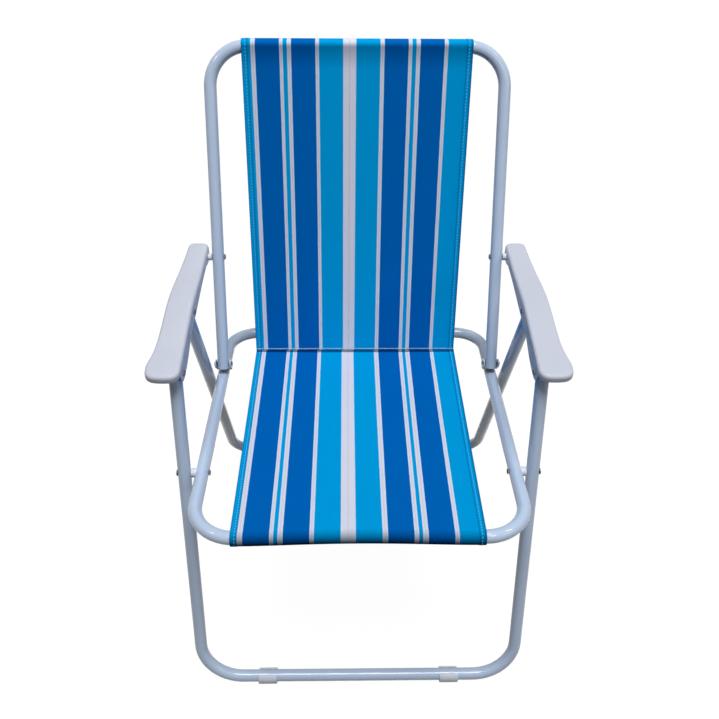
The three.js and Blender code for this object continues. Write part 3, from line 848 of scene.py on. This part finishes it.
def seat_pull(across, place):
    """Moves a place on the seat cloth back with its bowed front bar"""
    along = (place - seat_front_bar).dot(seat_back)
    share = max(1 - max(along, 0) / 0.12, 0)
    gone = min(max(along / (SEAT_FRONT_REACH + SEAM_REACH), 0), 1)
    spread = SEAT_CLOTH_FRONT_SHARE + (SEAT_CLOTH_REAR_SHARE - SEAT_CLOTH_FRONT_SHARE) * gone
    aside = ACROSS * (SEAT_CLOTH_DRIFT + across * (spread - 1))
    return seat_back * bar_bow(across) * share + aside


def back_pull(across, place):
    """Moves a place on the back cloth down with the bends of its top bar"""
    below = (back_top_bar - place).dot(back_up)
    share = max(1 - max(below, 0) / 0.05, 0)
    high, low = BACK_CLOTH_DRIFTS
    aside = high + (low - high) * min(max(below / BACK_LENGTH, 0), 1)
    return back_up * -bar_droop(across) * share + ACROSS * aside


def angle_of(direction):
    return math.atan2(direction.z, direction.y)


def flap_turn(reach, rise):
    """Angle from the cloth's direction to where its flap leaves the loop round a bar"""
    return math.atan2(rise, reach) - math.acos(CLOTH_OFFSET / math.hypot(reach, rise))


def seat_trail():
    reach = FLAP_LENGTH
    rise = CLOTH_OFFSET - CLOTH_THICKNESS - 0.00015
    tangent = flap_turn(reach, rise)
    slope = angle_of(seat_back)
    trail = Trail(seat_front_bar + seat_back * reach + seat_up * rise)
    first = slope + tangent
    trail.run(seat_front_bar + side_vector(math.cos(first), math.sin(first)) * CLOTH_OFFSET)
    trail.arc(seat_front_bar, CLOTH_OFFSET, first, slope + math.pi / 2 - math.tau)
    front = trail.length()
    trail.run(seat_rear_bar + seat_up * CLOTH_OFFSET)
    rear = trail.length()
    last = slope + math.pi - tangent - math.tau
    trail.arc(seat_rear_bar, CLOTH_OFFSET, slope + math.pi / 2, last)
    trail.run(seat_rear_bar - seat_back * reach + seat_up * rise)
    return trail, front, rear


def seam_place():
    lift = CLOTH_OFFSET + CLOTH_THICKNESS + 0.0001
    return leg_pivot + seat_back * SEAM_REACH + seat_up * lift


def back_trail():
    """From a tuck sewn to the seat cloth, up in front of the top bar, over it and down"""
    seam = seam_place()
    to_bar = back_top_bar - seam
    rise_angle = angle_of(to_bar) + math.asin(CLOTH_OFFSET / to_bar.length)
    upward = side_vector(math.cos(rise_angle), math.sin(rise_angle))
    slope = angle_of(seat_back)
    turn = slope + math.pi - rise_angle
    fold = 0.0012
    cut = fold * math.tan(turn / 2)
    trail = Trail(seam + seat_back * TUCK)
    bend_start = seam + seat_back * cut
    trail.run(bend_start)
    centre = bend_start + seat_up * fold
    trail.arc(centre, fold, slope - math.pi / 2, rise_angle - math.pi * 1.5)
    low = trail.length()
    front_side = back_top_bar + quarter_turn(upward) * CLOTH_OFFSET
    trail.run(front_side)
    high = trail.length()
    rise = CLOTH_OFFSET - CLOTH_THICKNESS - 0.00015
    tangent = flap_turn(FLAP_LENGTH, rise)
    start = rise_angle + math.pi / 2
    end = rise_angle - math.pi - tangent
    trail.arc(back_top_bar, CLOTH_OFFSET, start, end)
    trail.run(back_top_bar - upward * FLAP_LENGTH + quarter_turn(upward) * rise)
    return trail, low, high


def cloth_columns(half_width):
    """Places across the cloth, close together at its two folded hems"""
    hem = [0, 0.0006, 0.0020, 0.0060, HEM_WIDTH - 0.0008, HEM_WIDTH, HEM_WIDTH + 0.0008]
    left = [place - half_width for place in hem]
    inner = half_width - HEM_WIDTH - 0.0008
    middle = [-inner + inner * 2 * step / 22 for step in range(1, 22)]
    return left + middle + [-place for place in reversed(left)]


def cloth_piece(name, trail, half_width, pull, sag_from, sag_to, sag, material):
    """One sheet along a trail, hemmed at both sides, that gives a little between its bars"""
    columns = cloth_columns(half_width)
    shares = trail.shares()
    whole = trail.length()
    bm = bmesh.new()
    bmesh.ops.create_grid(bm, x_segments=len(columns) - 1, y_segments=len(shares) - 1, size=1)
    weave = bm.loops.layers.uv.new("weave")
    places = {}
    for vert in bm.verts:
        column = round((vert.co.x + 1) / 2 * (len(columns) - 1))
        row = round((vert.co.y + 1) / 2 * (len(shares) - 1))
        across = columns[column]
        places[vert.index] = ((across / half_width + 1) / 2, shares[row])
        down = give(shares[row] * whole, across / half_width, sag_from, sag_to, sag)
        place = trail.points[row] - trail.outward(row) * down
        vert.co = ACROSS * across + place + pull(across, place)
    for face in bm.faces:
        for loop in face.loops:
            loop[weave].uv = places[loop.vert.index]
    made = new_piece(bm, name, material, 180)
    hems = made.vertex_groups.new(name="hems")
    for vert in made.data.vertices:
        inside = half_width - abs(columns[vert.index % len(columns)])
        hems.add([vert.index], 1.0 if inside < HEM_WIDTH + 0.0001 else 0.0, "REPLACE")
    modify(
        made, "thickness", "SOLIDIFY", thickness=CLOTH_HEM_THICKNESS, offset=0, use_rim=True,
        vertex_group="hems", thickness_vertex_group=CLOTH_THICKNESS / CLOTH_HEM_THICKNESS,
    )
    return made


def give(distance, share_across, start, end, sag):
    """How far the cloth hangs below a straight line, most in its middle"""
    along = (distance - start) / (end - start)
    if not 0 < along < 1:
        return 0.0
    slack = math.sin(math.pi * along)
    ripple = 0.10 * math.sin(math.tau * 2.5 * share_across + 0.6) * slack
    return sag * slack * (0.55 + 0.45 * (1 - share_across ** 2) + ripple)


def stitch(bm, place, along, outward, length):
    """One stitch of thread, half sunk in the cloth"""
    turn = Matrix((along, outward.cross(along), outward)).transposed().to_4x4()
    size = Matrix.Diagonal((length / 2, 0.00054, 0.00038, 1))
    bmesh.ops.create_icosphere(
        bm, subdivisions=1, radius=1, matrix=Matrix.Translation(place) @ turn @ size,
    )


def side_stitches(bm, trail, half_width, pull, sag_from, sag_to, sag):
    """Rows of stitches along both hems, on both faces"""
    pitch = 0.0046
    whole = trail.length()
    for count in range(int((whole - 0.004) / pitch)):
        distance = 0.003 + count * pitch
        for across in (-half_width + HEM_STITCH, half_width - HEM_STITCH):
            place, along, outward = trail.at(distance)
            place = place - outward * give(distance, across / half_width, sag_from, sag_to, sag)
            place = place + pull(across, place)
            for face in (1, -1):
                lift = outward * face * (CLOTH_HEM_THICKNESS / 2)
                stitch(bm, ACROSS * across + place + lift, along, outward * face, 0.0031)


def cross_stitches(bm, trail, half_width, pull, distance, sag_from, sag_to, sag, faces=(-1,)):
    """A row of stitches from side to side, where a loop or the seam is sewn"""
    pitch = 0.0044
    place, along, outward = trail.at(distance)
    for count in range(int((half_width * 2 - 0.006) / pitch)):
        across = -half_width + 0.004 + count * pitch
        hem = half_width - abs(across) < HEM_WIDTH
        thick = CLOTH_HEM_THICKNESS if hem else CLOTH_THICKNESS
        down = give(distance, across / half_width, sag_from, sag_to, sag)
        for face in faces:
            here = place - outward * down
            here = here + pull(across, here) + outward * face * thick / 2
            stitch(bm, ACROSS * across + here, ACROSS, outward * face, 0.0030)


def blend_colours(look, share):
    return tuple(shaded(colour, share) for colour in (look.blue, look.light_blue, look.pale))


def material_named(name):
    found = bpy.data.materials.get(name)
    if found is None:
        raise RuntimeError(f"the finish {name} isn't made yet")
    return found


def length_setting(name, description, default):
    return bpy.props.FloatProperty(
        name=name, description=description, default=default, min=0, unit="LENGTH", precision=4,
    )


def colour_setting(name, description, default):
    return bpy.props.FloatVectorProperty(
        name=name, description=description, default=default, min=0, max=1, size=3,
        subtype="COLOR",
    )


def power_setting(name, description, default):
    return bpy.props.FloatProperty(
        name=name, description=description, default=default, min=0, unit="POWER",
    )


def share_setting(name, description, default):
    return bpy.props.FloatProperty(
        name=name, description=description, default=default, min=0, max=1, subtype="FACTOR",
    )


class LAWNCHAIR_PG_finish(bpy.types.PropertyGroup):
    """Colours and gloss of the chair's finishes"""

    tube_colour: colour_setting("Tube colour", "Paint on the bent tubes", (0.47, 0.585, 0.76))
    tube_roughness: share_setting("Tube roughness", "How dull the paint on the tubes is", 0.24)
    plastic_colour: colour_setting("Armrest colour", "Armrest plastic", (0.525, 0.553, 0.64))
    glide_colour: colour_setting("Glide colour", "Clips and spacers", (0.64, 0.67, 0.74))
    plastic_roughness: share_setting("Plastic roughness", "How dull the plastic is", 0.42)
    rivet_colour: colour_setting("Rivet colour", "Metal of the rivets", (0.30, 0.31, 0.34))
    thread_colour: colour_setting("Thread colour", "Thread of the seams", (0.14, 0.60, 0.88))


class LAWNCHAIR_PG_cloth(bpy.types.PropertyGroup):
    """Colours and slack of the striped cloth"""

    blue: colour_setting("Blue", "Wide dark stripes", (0.0002, 0.128, 0.485))
    light_blue: colour_setting("Light blue", "Light stripes and hems", (0.0004, 0.338, 0.74))
    pale: colour_setting("White", "Narrow stripes", (0.72, 0.74, 0.86))
    seat_sag: length_setting("Seat sag", "How far the seat cloth gives in its middle", 0.0030)
    back_sag: length_setting("Back sag", "How far the back cloth gives in its middle", 0.0022)


class LAWNCHAIR_PG_stage(bpy.types.PropertyGroup):
    """Strength of the soft studio light"""

    sky: share_setting("Sky light", "Even light from all round", 0.08)
    key_power: power_setting("Key light", "Large lamp above the front", 326)
    side_power: power_setting("Side light", "Lamp on the right of the chair", 26)
    glint_power: power_setting("Glint light", "Small lamps for highlights", 6)


class PieceOperator:
    """What the chair's piece operators share"""

    bl_options = {"REGISTER", "UNDO"}

    def add(self, made, body, slot, *nodes):
        if nodes:
            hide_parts(*nodes)
        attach(made, body)
        return made


class LAWNCHAIR_OT_finishes(bpy.types.Operator):
    """Make the chair's finishes"""

    bl_idname = "lawn_chair.finishes"
    bl_label = "Finishes"

    def execute(self, context):
        look = context.scene.lawn_chair_finish
        dull = look.plastic_roughness
        tube_paint(shaded(look.tube_colour, 1), look.tube_roughness)
        moulded_plastic("armrest_plastic", shaded(look.plastic_colour, 1), dull, 900)
        moulded_plastic("glide_plastic", shaded(look.glide_colour, 1), dull, 1300)
        rivet_metal(shaded(look.rivet_colour, 1))
        rivet_bore()
        sewing_thread("sewing_thread", shaded(look.thread_colour, 1))
        sewing_thread("pale_thread", (0.80, 0.92, 1.0, 1))
        return {"FINISHED"}


class LAWNCHAIR_OT_legs(bpy.types.Operator, PieceOperator):
    """Bend the front and rear legs with their floor bars"""

    bl_idname = "lawn_chair.legs"
    bl_label = "Legs"

    def execute(self, context):
        paint = material_named("tube_paint")
        front = bent_frame(
            front_armrest_pivot, front_foot, LEG_HALF_WIDTH, LEG_HALF_WIDTH, LEG_CORNER,
            FRONT_LEG_END,
        )
        self.add(front.finish("front_leg_tube", paint), "front_leg", "tube", "front_leg")
        rear = bent_frame(
            middle_armrest_pivot, rear_foot, LEG_HALF_WIDTH, LEG_HALF_WIDTH, LEG_CORNER,
            REAR_LEG_END,
        )
        self.add(rear.finish("rear_leg_tube", paint), "rear_leg", "tube", "rear_leg")
        return {"FINISHED"}


class LAWNCHAIR_OT_seat_frame(bpy.types.Operator, PieceOperator):
    """Bend the seat's loop of tube, which closes in the middle of its rear bar"""

    bl_idname = "lawn_chair.seat_frame"
    bl_label = "Seat Frame"

    def execute(self, context):
        paint = material_named("tube_paint")
        quarter = math.pi / 2
        rear_run = SEAT_HALF_WIDTH - SEAT_REAR_CORNER
        side_run = SEAT_FRONT_REACH + SEAT_REAR_REACH - SEAT_REAR_CORNER - SEAT_FRONT_CORNER
        tube = TubeBender(seat_rear_bar + ACROSS * SEAT_JOINT, ACROSS)
        tube.first_run(rear_run - SEAT_JOINT)
        tube.bend(quarter, SEAT_REAR_CORNER, -seat_back)
        tube.run(side_run)
        tube.bend(quarter, SEAT_FRONT_CORNER, -ACROSS)
        for step in range(BAR_STEPS):
            tube.run((SEAT_HALF_WIDTH - SEAT_FRONT_CORNER) * 2 / BAR_STEPS)
        tube.bend(quarter, SEAT_FRONT_CORNER, seat_back)
        tube.run(side_run)
        tube.bend(quarter, SEAT_REAR_CORNER, ACROSS)
        tube.last_run(rear_run - SEAT_JOINT)
        for vert in tube.bm.verts:
            along = (vert.co - seat_front_bar).dot(seat_back)
            if along < SEAT_FRONT_CORNER:
                vert.co += seat_back * bar_bow(vert.co.x)
        self.add(tube.finish("seat_frame_tube", paint), "seat", "tube", "seat_frame")
        sleeve = frame["nodes"]["seat_frame_sleeve"]
        sleeve.data.materials.clear()
        sleeve.data.materials.append(paint)
        return {"FINISHED"}


class LAWNCHAIR_OT_back_frame(bpy.types.Operator, PieceOperator):
    """Bend the back's U of tube, open at its two lower ends"""

    bl_idname = "lawn_chair.back_frame"
    bl_label = "Back Frame"

    def execute(self, context):
        tube = bent_frame(
            back_pivot, back_top_bar, BACK_FOOT_HALF_WIDTH, BACK_TOP_HALF_WIDTH, BACK_CORNER,
            BACK_TUBE_END,
        )
        made = tube.finish("back_frame_tube", material_named("tube_paint"))
        self.add(made, "back", "tube", "back_frame")
        return {"FINISHED"}


class LAWNCHAIR_OT_armrests(bpy.types.Operator, PieceOperator):
    """Mould the two armrests, hollow below, with a lobe at each end rivet"""

    bl_idname = "lawn_chair.armrests"
    bl_label = "Armrests"

    def execute(self, context):
        plastic = material_named("armrest_plastic")
        for word, side in SIDES.items():
            body = armrest_body()
            set_on_armrest(body, side)
            made = new_piece(body, f"{word}_armrest_shell", plastic, 60)
            modify(
                made, "wall", "SOLIDIFY", thickness=ARMREST_WALL, offset=-1, use_rim=True,
                use_even_offset=True,
            )
            modify(
                made, "rim", "BEVEL", width=0.0005, segments=2, limit_method="ANGLE",
                angle_limit=math.radians(50), profile=0.5, material=-1,
            )
            self.add(made, "armrests", "white_plastic", f"{word}_armrest")
            lobes = bmesh.new()
            armrest_lobe(lobes, FRONT_LOBE, 0)
            armrest_lobe(lobes, REAR_LOBE, ARMREST_LINK)
            set_on_armrest(lobes, side)
            plates = new_piece(lobes, f"{word}_armrest_lobes", plastic, 50)
            self.add(plates, "armrests", "white_plastic")
        return {"FINISHED"}


class LAWNCHAIR_OT_rivets(bpy.types.Operator, PieceOperator):
    """Turn the tubular rivets that join the moving frames"""

    bl_idname = "lawn_chair.rivets"
    bl_label = "Rivets"

    def execute(self, context):
        bodies = {"leg_rivet": "seat", "hinge_rivet": "seat", "armrest_front_rivet": "armrests",
                  "armrest_middle_rivet": "armrests", "armrest_rear_rivet": "armrests"}
        metal = material_named("rivet_metal")
        for word in SIDES:
            for kind, body in bodies.items():
                node = f"{word}_{kind}"
                low, high = (Vector(corner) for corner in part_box(node))
                centre = (low + high) / 2
                head = (high.z - low.z) / 2
                profile = rivet_profile(low.x, high.x, RIVET_SHANK, head)
                bm = turned(profile, centre)
                made = new_piece(bm, f"{node}_metal", metal, 50)
                made.data.materials.append(material_named("rivet_bore"))
                # Faces close to the rivet's line take the near-black bore finish, painted shade in
                # the hollow
                for face in made.data.polygons:
                    off_line = math.hypot(face.center.y - centre.y, face.center.z - centre.z)
                    if off_line < head * RIVET_DARK_SHARE:
                        face.material_index = 1
                self.add(made, body, "rivet", node)
        return {"FINISHED"}


class LAWNCHAIR_OT_hinge_brackets(bpy.types.Operator, PieceOperator):
    """Round over the two brackets that carry the back frame on the seat tubes"""

    bl_idname = "lawn_chair.hinge_brackets"
    bl_label = "Hinge Brackets"

    def execute(self, context):
        paint = material_named("tube_paint")
        for word in SIDES:
            node = f"{word}_hinge_bracket"
            made = softened_copy(node, f"{node}_shell", paint, BRACKET_EDGE)
            self.add(made, "seat", "tube", node)
        return {"FINISHED"}


class LAWNCHAIR_OT_spacers(bpy.types.Operator, PieceOperator):
    """Turn the white spacers on the leg rivets and the rear armrest rivets"""

    bl_idname = "lawn_chair.spacers"
    bl_label = "Spacers"

    def execute(self, context):
        plastic = material_named("glide_plastic")
        for word in SIDES:
            for kind, body in (("leg_spacer", "seat"), ("armrest_spacer", "armrests")):
                node = f"{word}_{kind}"
                low, high = (Vector(corner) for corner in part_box(node))
                centre = (low + high) / 2
                radius = (high.z - low.z) / 2
                profile = ring_profile(low.x, high.x, SPACER_BORE, radius, SPACER_EDGE)
                bm = turned(profile, centre)
                self.add(new_piece(bm, f"{node}_ring", plastic, 50), body, "white_plastic", node)
        return {"FINISHED"}


class LAWNCHAIR_OT_glides(bpy.types.Operator, PieceOperator):
    """Round over the clips on the floor bars"""

    bl_idname = "lawn_chair.glides"
    bl_label = "Glides"

    def execute(self, context):
        plastic = material_named("glide_plastic")
        for word in SIDES:
            for end in ("front", "rear"):
                node = f"{word}_{end}_glide"
                made = softened_copy(node, f"{node}_clip", plastic, GLIDE_EDGE)
                self.add(made, f"{end}_leg", "white_plastic", node)
        return {"FINISHED"}


class LAWNCHAIR_OT_seat_cloth(bpy.types.Operator, PieceOperator):
    """Stretch the striped seat cloth between the front and rear bars"""

    bl_idname = "lawn_chair.seat_cloth"
    bl_label = "Seat Cloth"

    def execute(self, context):
        look = context.scene.lawn_chair_cloth
        trail, front, rear = seat_trail()
        seam = front + SEAT_FRONT_REACH + SEAM_REACH
        width = SEAT_CLOTH_HALF_WIDTH * 2
        whole = trail.length()
        # The seat takes the shared cloth colours at 0.88 and the back at 1.02: one cloth, painted
        # darker on the seat and lighter on the back for the light that falls on each
        cloth = striped_cloth(
            "seat_stripes", width, whole, SEAT_WHITE, SEAT_LIGHT, blend_colours(look, 0.88),
            # Painted shade: under and round the front loop, a dark line just in front of the seam
            # and a faint band behind it
            (
                (-0.01, 0.005, front - 0.0075, 0.0095, 0.85),
                (seam - 0.0036, 0.0008, seam - 0.0004, 0.0008, 0.85),
                (seam - 0.0004, 0.002, seam + 0.02, 0.004, 0.3),
            ),
        )
        place = (front, rear, look.seat_sag)
        half_width = SEAT_CLOTH_HALF_WIDTH
        made = cloth_piece("seat_cloth", trail, half_width, seat_pull, *place, cloth)
        self.add(made, "seat", "seat_cloth", "seat_panel")
        bm = bmesh.new()
        side_stitches(bm, trail, half_width, seat_pull, *place)
        for distance in (front + FLAP_SEWN, rear - FLAP_SEWN):
            cross_stitches(bm, trail, half_width, seat_pull, distance, *place)
        thread = new_piece(bm, "seat_stitching", material_named("sewing_thread"), 180)
        self.add(thread, "seat", "seat_cloth")
        return {"FINISHED"}


class LAWNCHAIR_OT_back_cloth(bpy.types.Operator, PieceOperator):
    """Stretch the striped back cloth from the seam on the seat to the top bar"""

    bl_idname = "lawn_chair.back_cloth"
    bl_label = "Back Cloth"

    def execute(self, context):
        look = context.scene.lawn_chair_cloth
        trail, low, high = back_trail()
        width = BACK_CLOTH_HALF_WIDTH * 2
        whole = trail.length()
        # The back takes the shared cloth colours at 1.02, painted lighter than the seat's 0.88 for
        # the light that falls on it
        cloth = striped_cloth(
            "back_stripes", width, whole, BACK_WHITE, BACK_LIGHT, blend_colours(look, 1.02),
            # Painted shade in a band just below the top bar's loop; painted highlight along the
            # cloth's bend at the seam
            ((high - 0.016, 0.014, high + 0.0032, 0.003, 0.46),), low + 0.0004,
        )
        place = (low, high, look.back_sag)
        half_width = BACK_CLOTH_HALF_WIDTH
        made = cloth_piece("back_cloth", trail, half_width, back_pull, *place, cloth)
        bm = bmesh.new()
        side_stitches(bm, trail, half_width, back_pull, *place)
        cross_stitches(bm, trail, half_width, back_pull, high - FLAP_SEWN, *place)
        thread = new_piece(bm, "back_stitching", material_named("sewing_thread"), 180)
        bm = bmesh.new()
        cross_stitches(bm, trail, half_width, back_pull, low + 0.0014, *place, (1, -1))
        pale = new_piece(bm, "seam_stitching", material_named("pale_thread"), 180)
        for piece in (made, thread, pale):
            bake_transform(piece)
        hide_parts("back_panel", "back_panel_foot")
        return {"FINISHED"}


class LAWNCHAIR_OT_stage(bpy.types.Operator):
    """Set the floor, the soft light and the camera"""

    bl_idname = "lawn_chair.stage"
    bl_label = "Stage"

    def execute(self, context):
        scene = context.scene
        scene.view_settings.view_transform = "Standard"
        self.add_floor()
        self.add_sky(scene)
        power = scene.lawn_chair_stage
        self.add_lamp("key_lamp", (0.15, -0.95, 6.0), 3.0, power.key_power)
        self.add_lamp("side_lamp", (3.7, -2.2, 2.9), 2.0, power.side_power)
        self.add_glint("rear_glint_lamp", (-0.12, 1.20, 1.78), power.glint_power)
        self.add_glint("left_glint_lamp", (-1.30, -0.42, 2.0), power.glint_power)
        self.add_glint("right_glint_lamp", (1.23, -0.03, 2.06), power.glint_power)
        self.add_glint("front_glint_lamp", (0.68, -1.0, 1.62), power.glint_power * 0.5)
        self.add_camera(scene)
        return {"FINISHED"}

    def add_floor(self):
        bm = bmesh.new()
        bmesh.ops.create_grid(bm, x_segments=1, y_segments=1, size=6)
        bmesh.ops.translate(bm, verts=bm.verts, vec=(0, 0, -0.0002))
        finish = new_finish("pale_floor")
        floor = new_piece(bm, "floor", finish.surface({
            "Base Color": (0.08, 0.08, 0.085, 1), "Roughness": 0.9, "Specular IOR Level": 0,
            "Emission Color": (1, 1, 1, 1), "Emission Strength": finish.seen() * 0.97,
        }))

    def add_sky(self, scene):
        world = bpy.data.worlds.new("studio")
        finish = Finish(world)
        even = finish.node("ShaderNodeBackground", None, {
            "Color": (0.94, 0.96, 1, 1), "Strength": scene.lawn_chair_stage.sky,
        })
        white = finish.node("ShaderNodeBackground", None, {"Color": (1, 1, 1, 1), "Strength": 1})
        mixed = finish.node("ShaderNodeMixShader", None, {
            0: finish.seen(), 1: finish.wire(even), 2: finish.wire(white),
        })
        finish.node("ShaderNodeOutputWorld", None, {"Surface": finish.wire(mixed)})
        scene.world = world

    def add_lamp(self, name, place, size, power):
        lamp = bpy.data.lights.new(name, "AREA")
        lamp.shape = "DISK"
        lamp.size = size
        lamp.energy = power
        made = bpy.data.objects.new(name, lamp)
        made.location = place
        aim = Vector((0, 0, 0.35)) - made.location
        made.rotation_euler = aim.to_track_quat("-Z", "Y").to_euler()
        bpy.context.scene.collection.objects.link(made)
        return made

    def add_glint(self, name, place, power):
        """A small lamp that is seen only as a highlight on glossy paint"""
        made = self.add_lamp(name, place, 0.15, power)
        made.visible_diffuse = False

    def add_camera(self, scene):
        camera = bpy.data.cameras.new("camera")
        camera.sensor_width = 36
        camera.lens = 38.05
        made = bpy.data.objects.new("camera", camera)
        made.location = (-0.0160, -0.8218, 1.1623)
        turn = Matrix.Rotation(math.radians(-1.232), 3, "Z")
        turn = turn @ Matrix.Rotation(math.radians(48.219), 3, "X")
        turn = turn @ Matrix.Rotation(math.radians(0.690), 3, "Z")
        made.rotation_euler = turn.to_euler()
        scene.collection.objects.link(made)
        scene.camera = made


class LAWNCHAIR_PT_panel(bpy.types.Panel):
    """Lists the chair's settings and pieces"""

    bl_idname = "LAWNCHAIR_PT_panel"
    bl_label = "Lawn Chair"
    bl_space_type = "VIEW_3D"
    bl_region_type = "UI"
    bl_category = "Lawn Chair"

    def draw(self, context):
        layout = self.layout
        for group in ("lawn_chair_finish", "lawn_chair_cloth", "lawn_chair_stage"):
            settings = getattr(context.scene, group)
            for name in settings.__annotations__:
                layout.prop(settings, name)
        for operator in PIECE_OPERATORS:
            layout.operator(operator.bl_idname)


PIECE_OPERATORS = (
    LAWNCHAIR_OT_finishes,
    LAWNCHAIR_OT_legs,
    LAWNCHAIR_OT_seat_frame,
    LAWNCHAIR_OT_back_frame,
    LAWNCHAIR_OT_armrests,
    LAWNCHAIR_OT_rivets,
    LAWNCHAIR_OT_hinge_brackets,
    LAWNCHAIR_OT_spacers,
    LAWNCHAIR_OT_glides,
    LAWNCHAIR_OT_seat_cloth,
    LAWNCHAIR_OT_back_cloth,
    LAWNCHAIR_OT_stage,
)
SETTINGS = {
    "lawn_chair_finish": LAWNCHAIR_PG_finish,
    "lawn_chair_cloth": LAWNCHAIR_PG_cloth,
    "lawn_chair_stage": LAWNCHAIR_PG_stage,
}


def register():
    for group in SETTINGS.values():
        bpy.utils.register_class(group)
    for name, group in SETTINGS.items():
        setattr(bpy.types.Scene, name, bpy.props.PointerProperty(type=group))
    for operator in PIECE_OPERATORS:
        bpy.utils.register_class(operator)
    bpy.utils.register_class(LAWNCHAIR_PT_panel)


def unregister():
    bpy.utils.unregister_class(LAWNCHAIR_PT_panel)
    for operator in reversed(PIECE_OPERATORS):
        bpy.utils.unregister_class(operator)
    for name, group in SETTINGS.items():
        delattr(bpy.types.Scene, name)
        bpy.utils.unregister_class(group)


def main():
    register()
    bpy.ops.lawn_chair.finishes()
    bpy.ops.lawn_chair.legs()
    bpy.ops.lawn_chair.seat_frame()
    bpy.ops.lawn_chair.back_frame()
    bpy.ops.lawn_chair.armrests()
    bpy.ops.lawn_chair.rivets()
    bpy.ops.lawn_chair.hinge_brackets()
    bpy.ops.lawn_chair.spacers()
    bpy.ops.lawn_chair.glides()
    bpy.ops.lawn_chair.seat_cloth()
    bpy.ops.lawn_chair.back_cloth()
    bpy.ops.lawn_chair.stage()


if __name__ == "__main__":
    main()
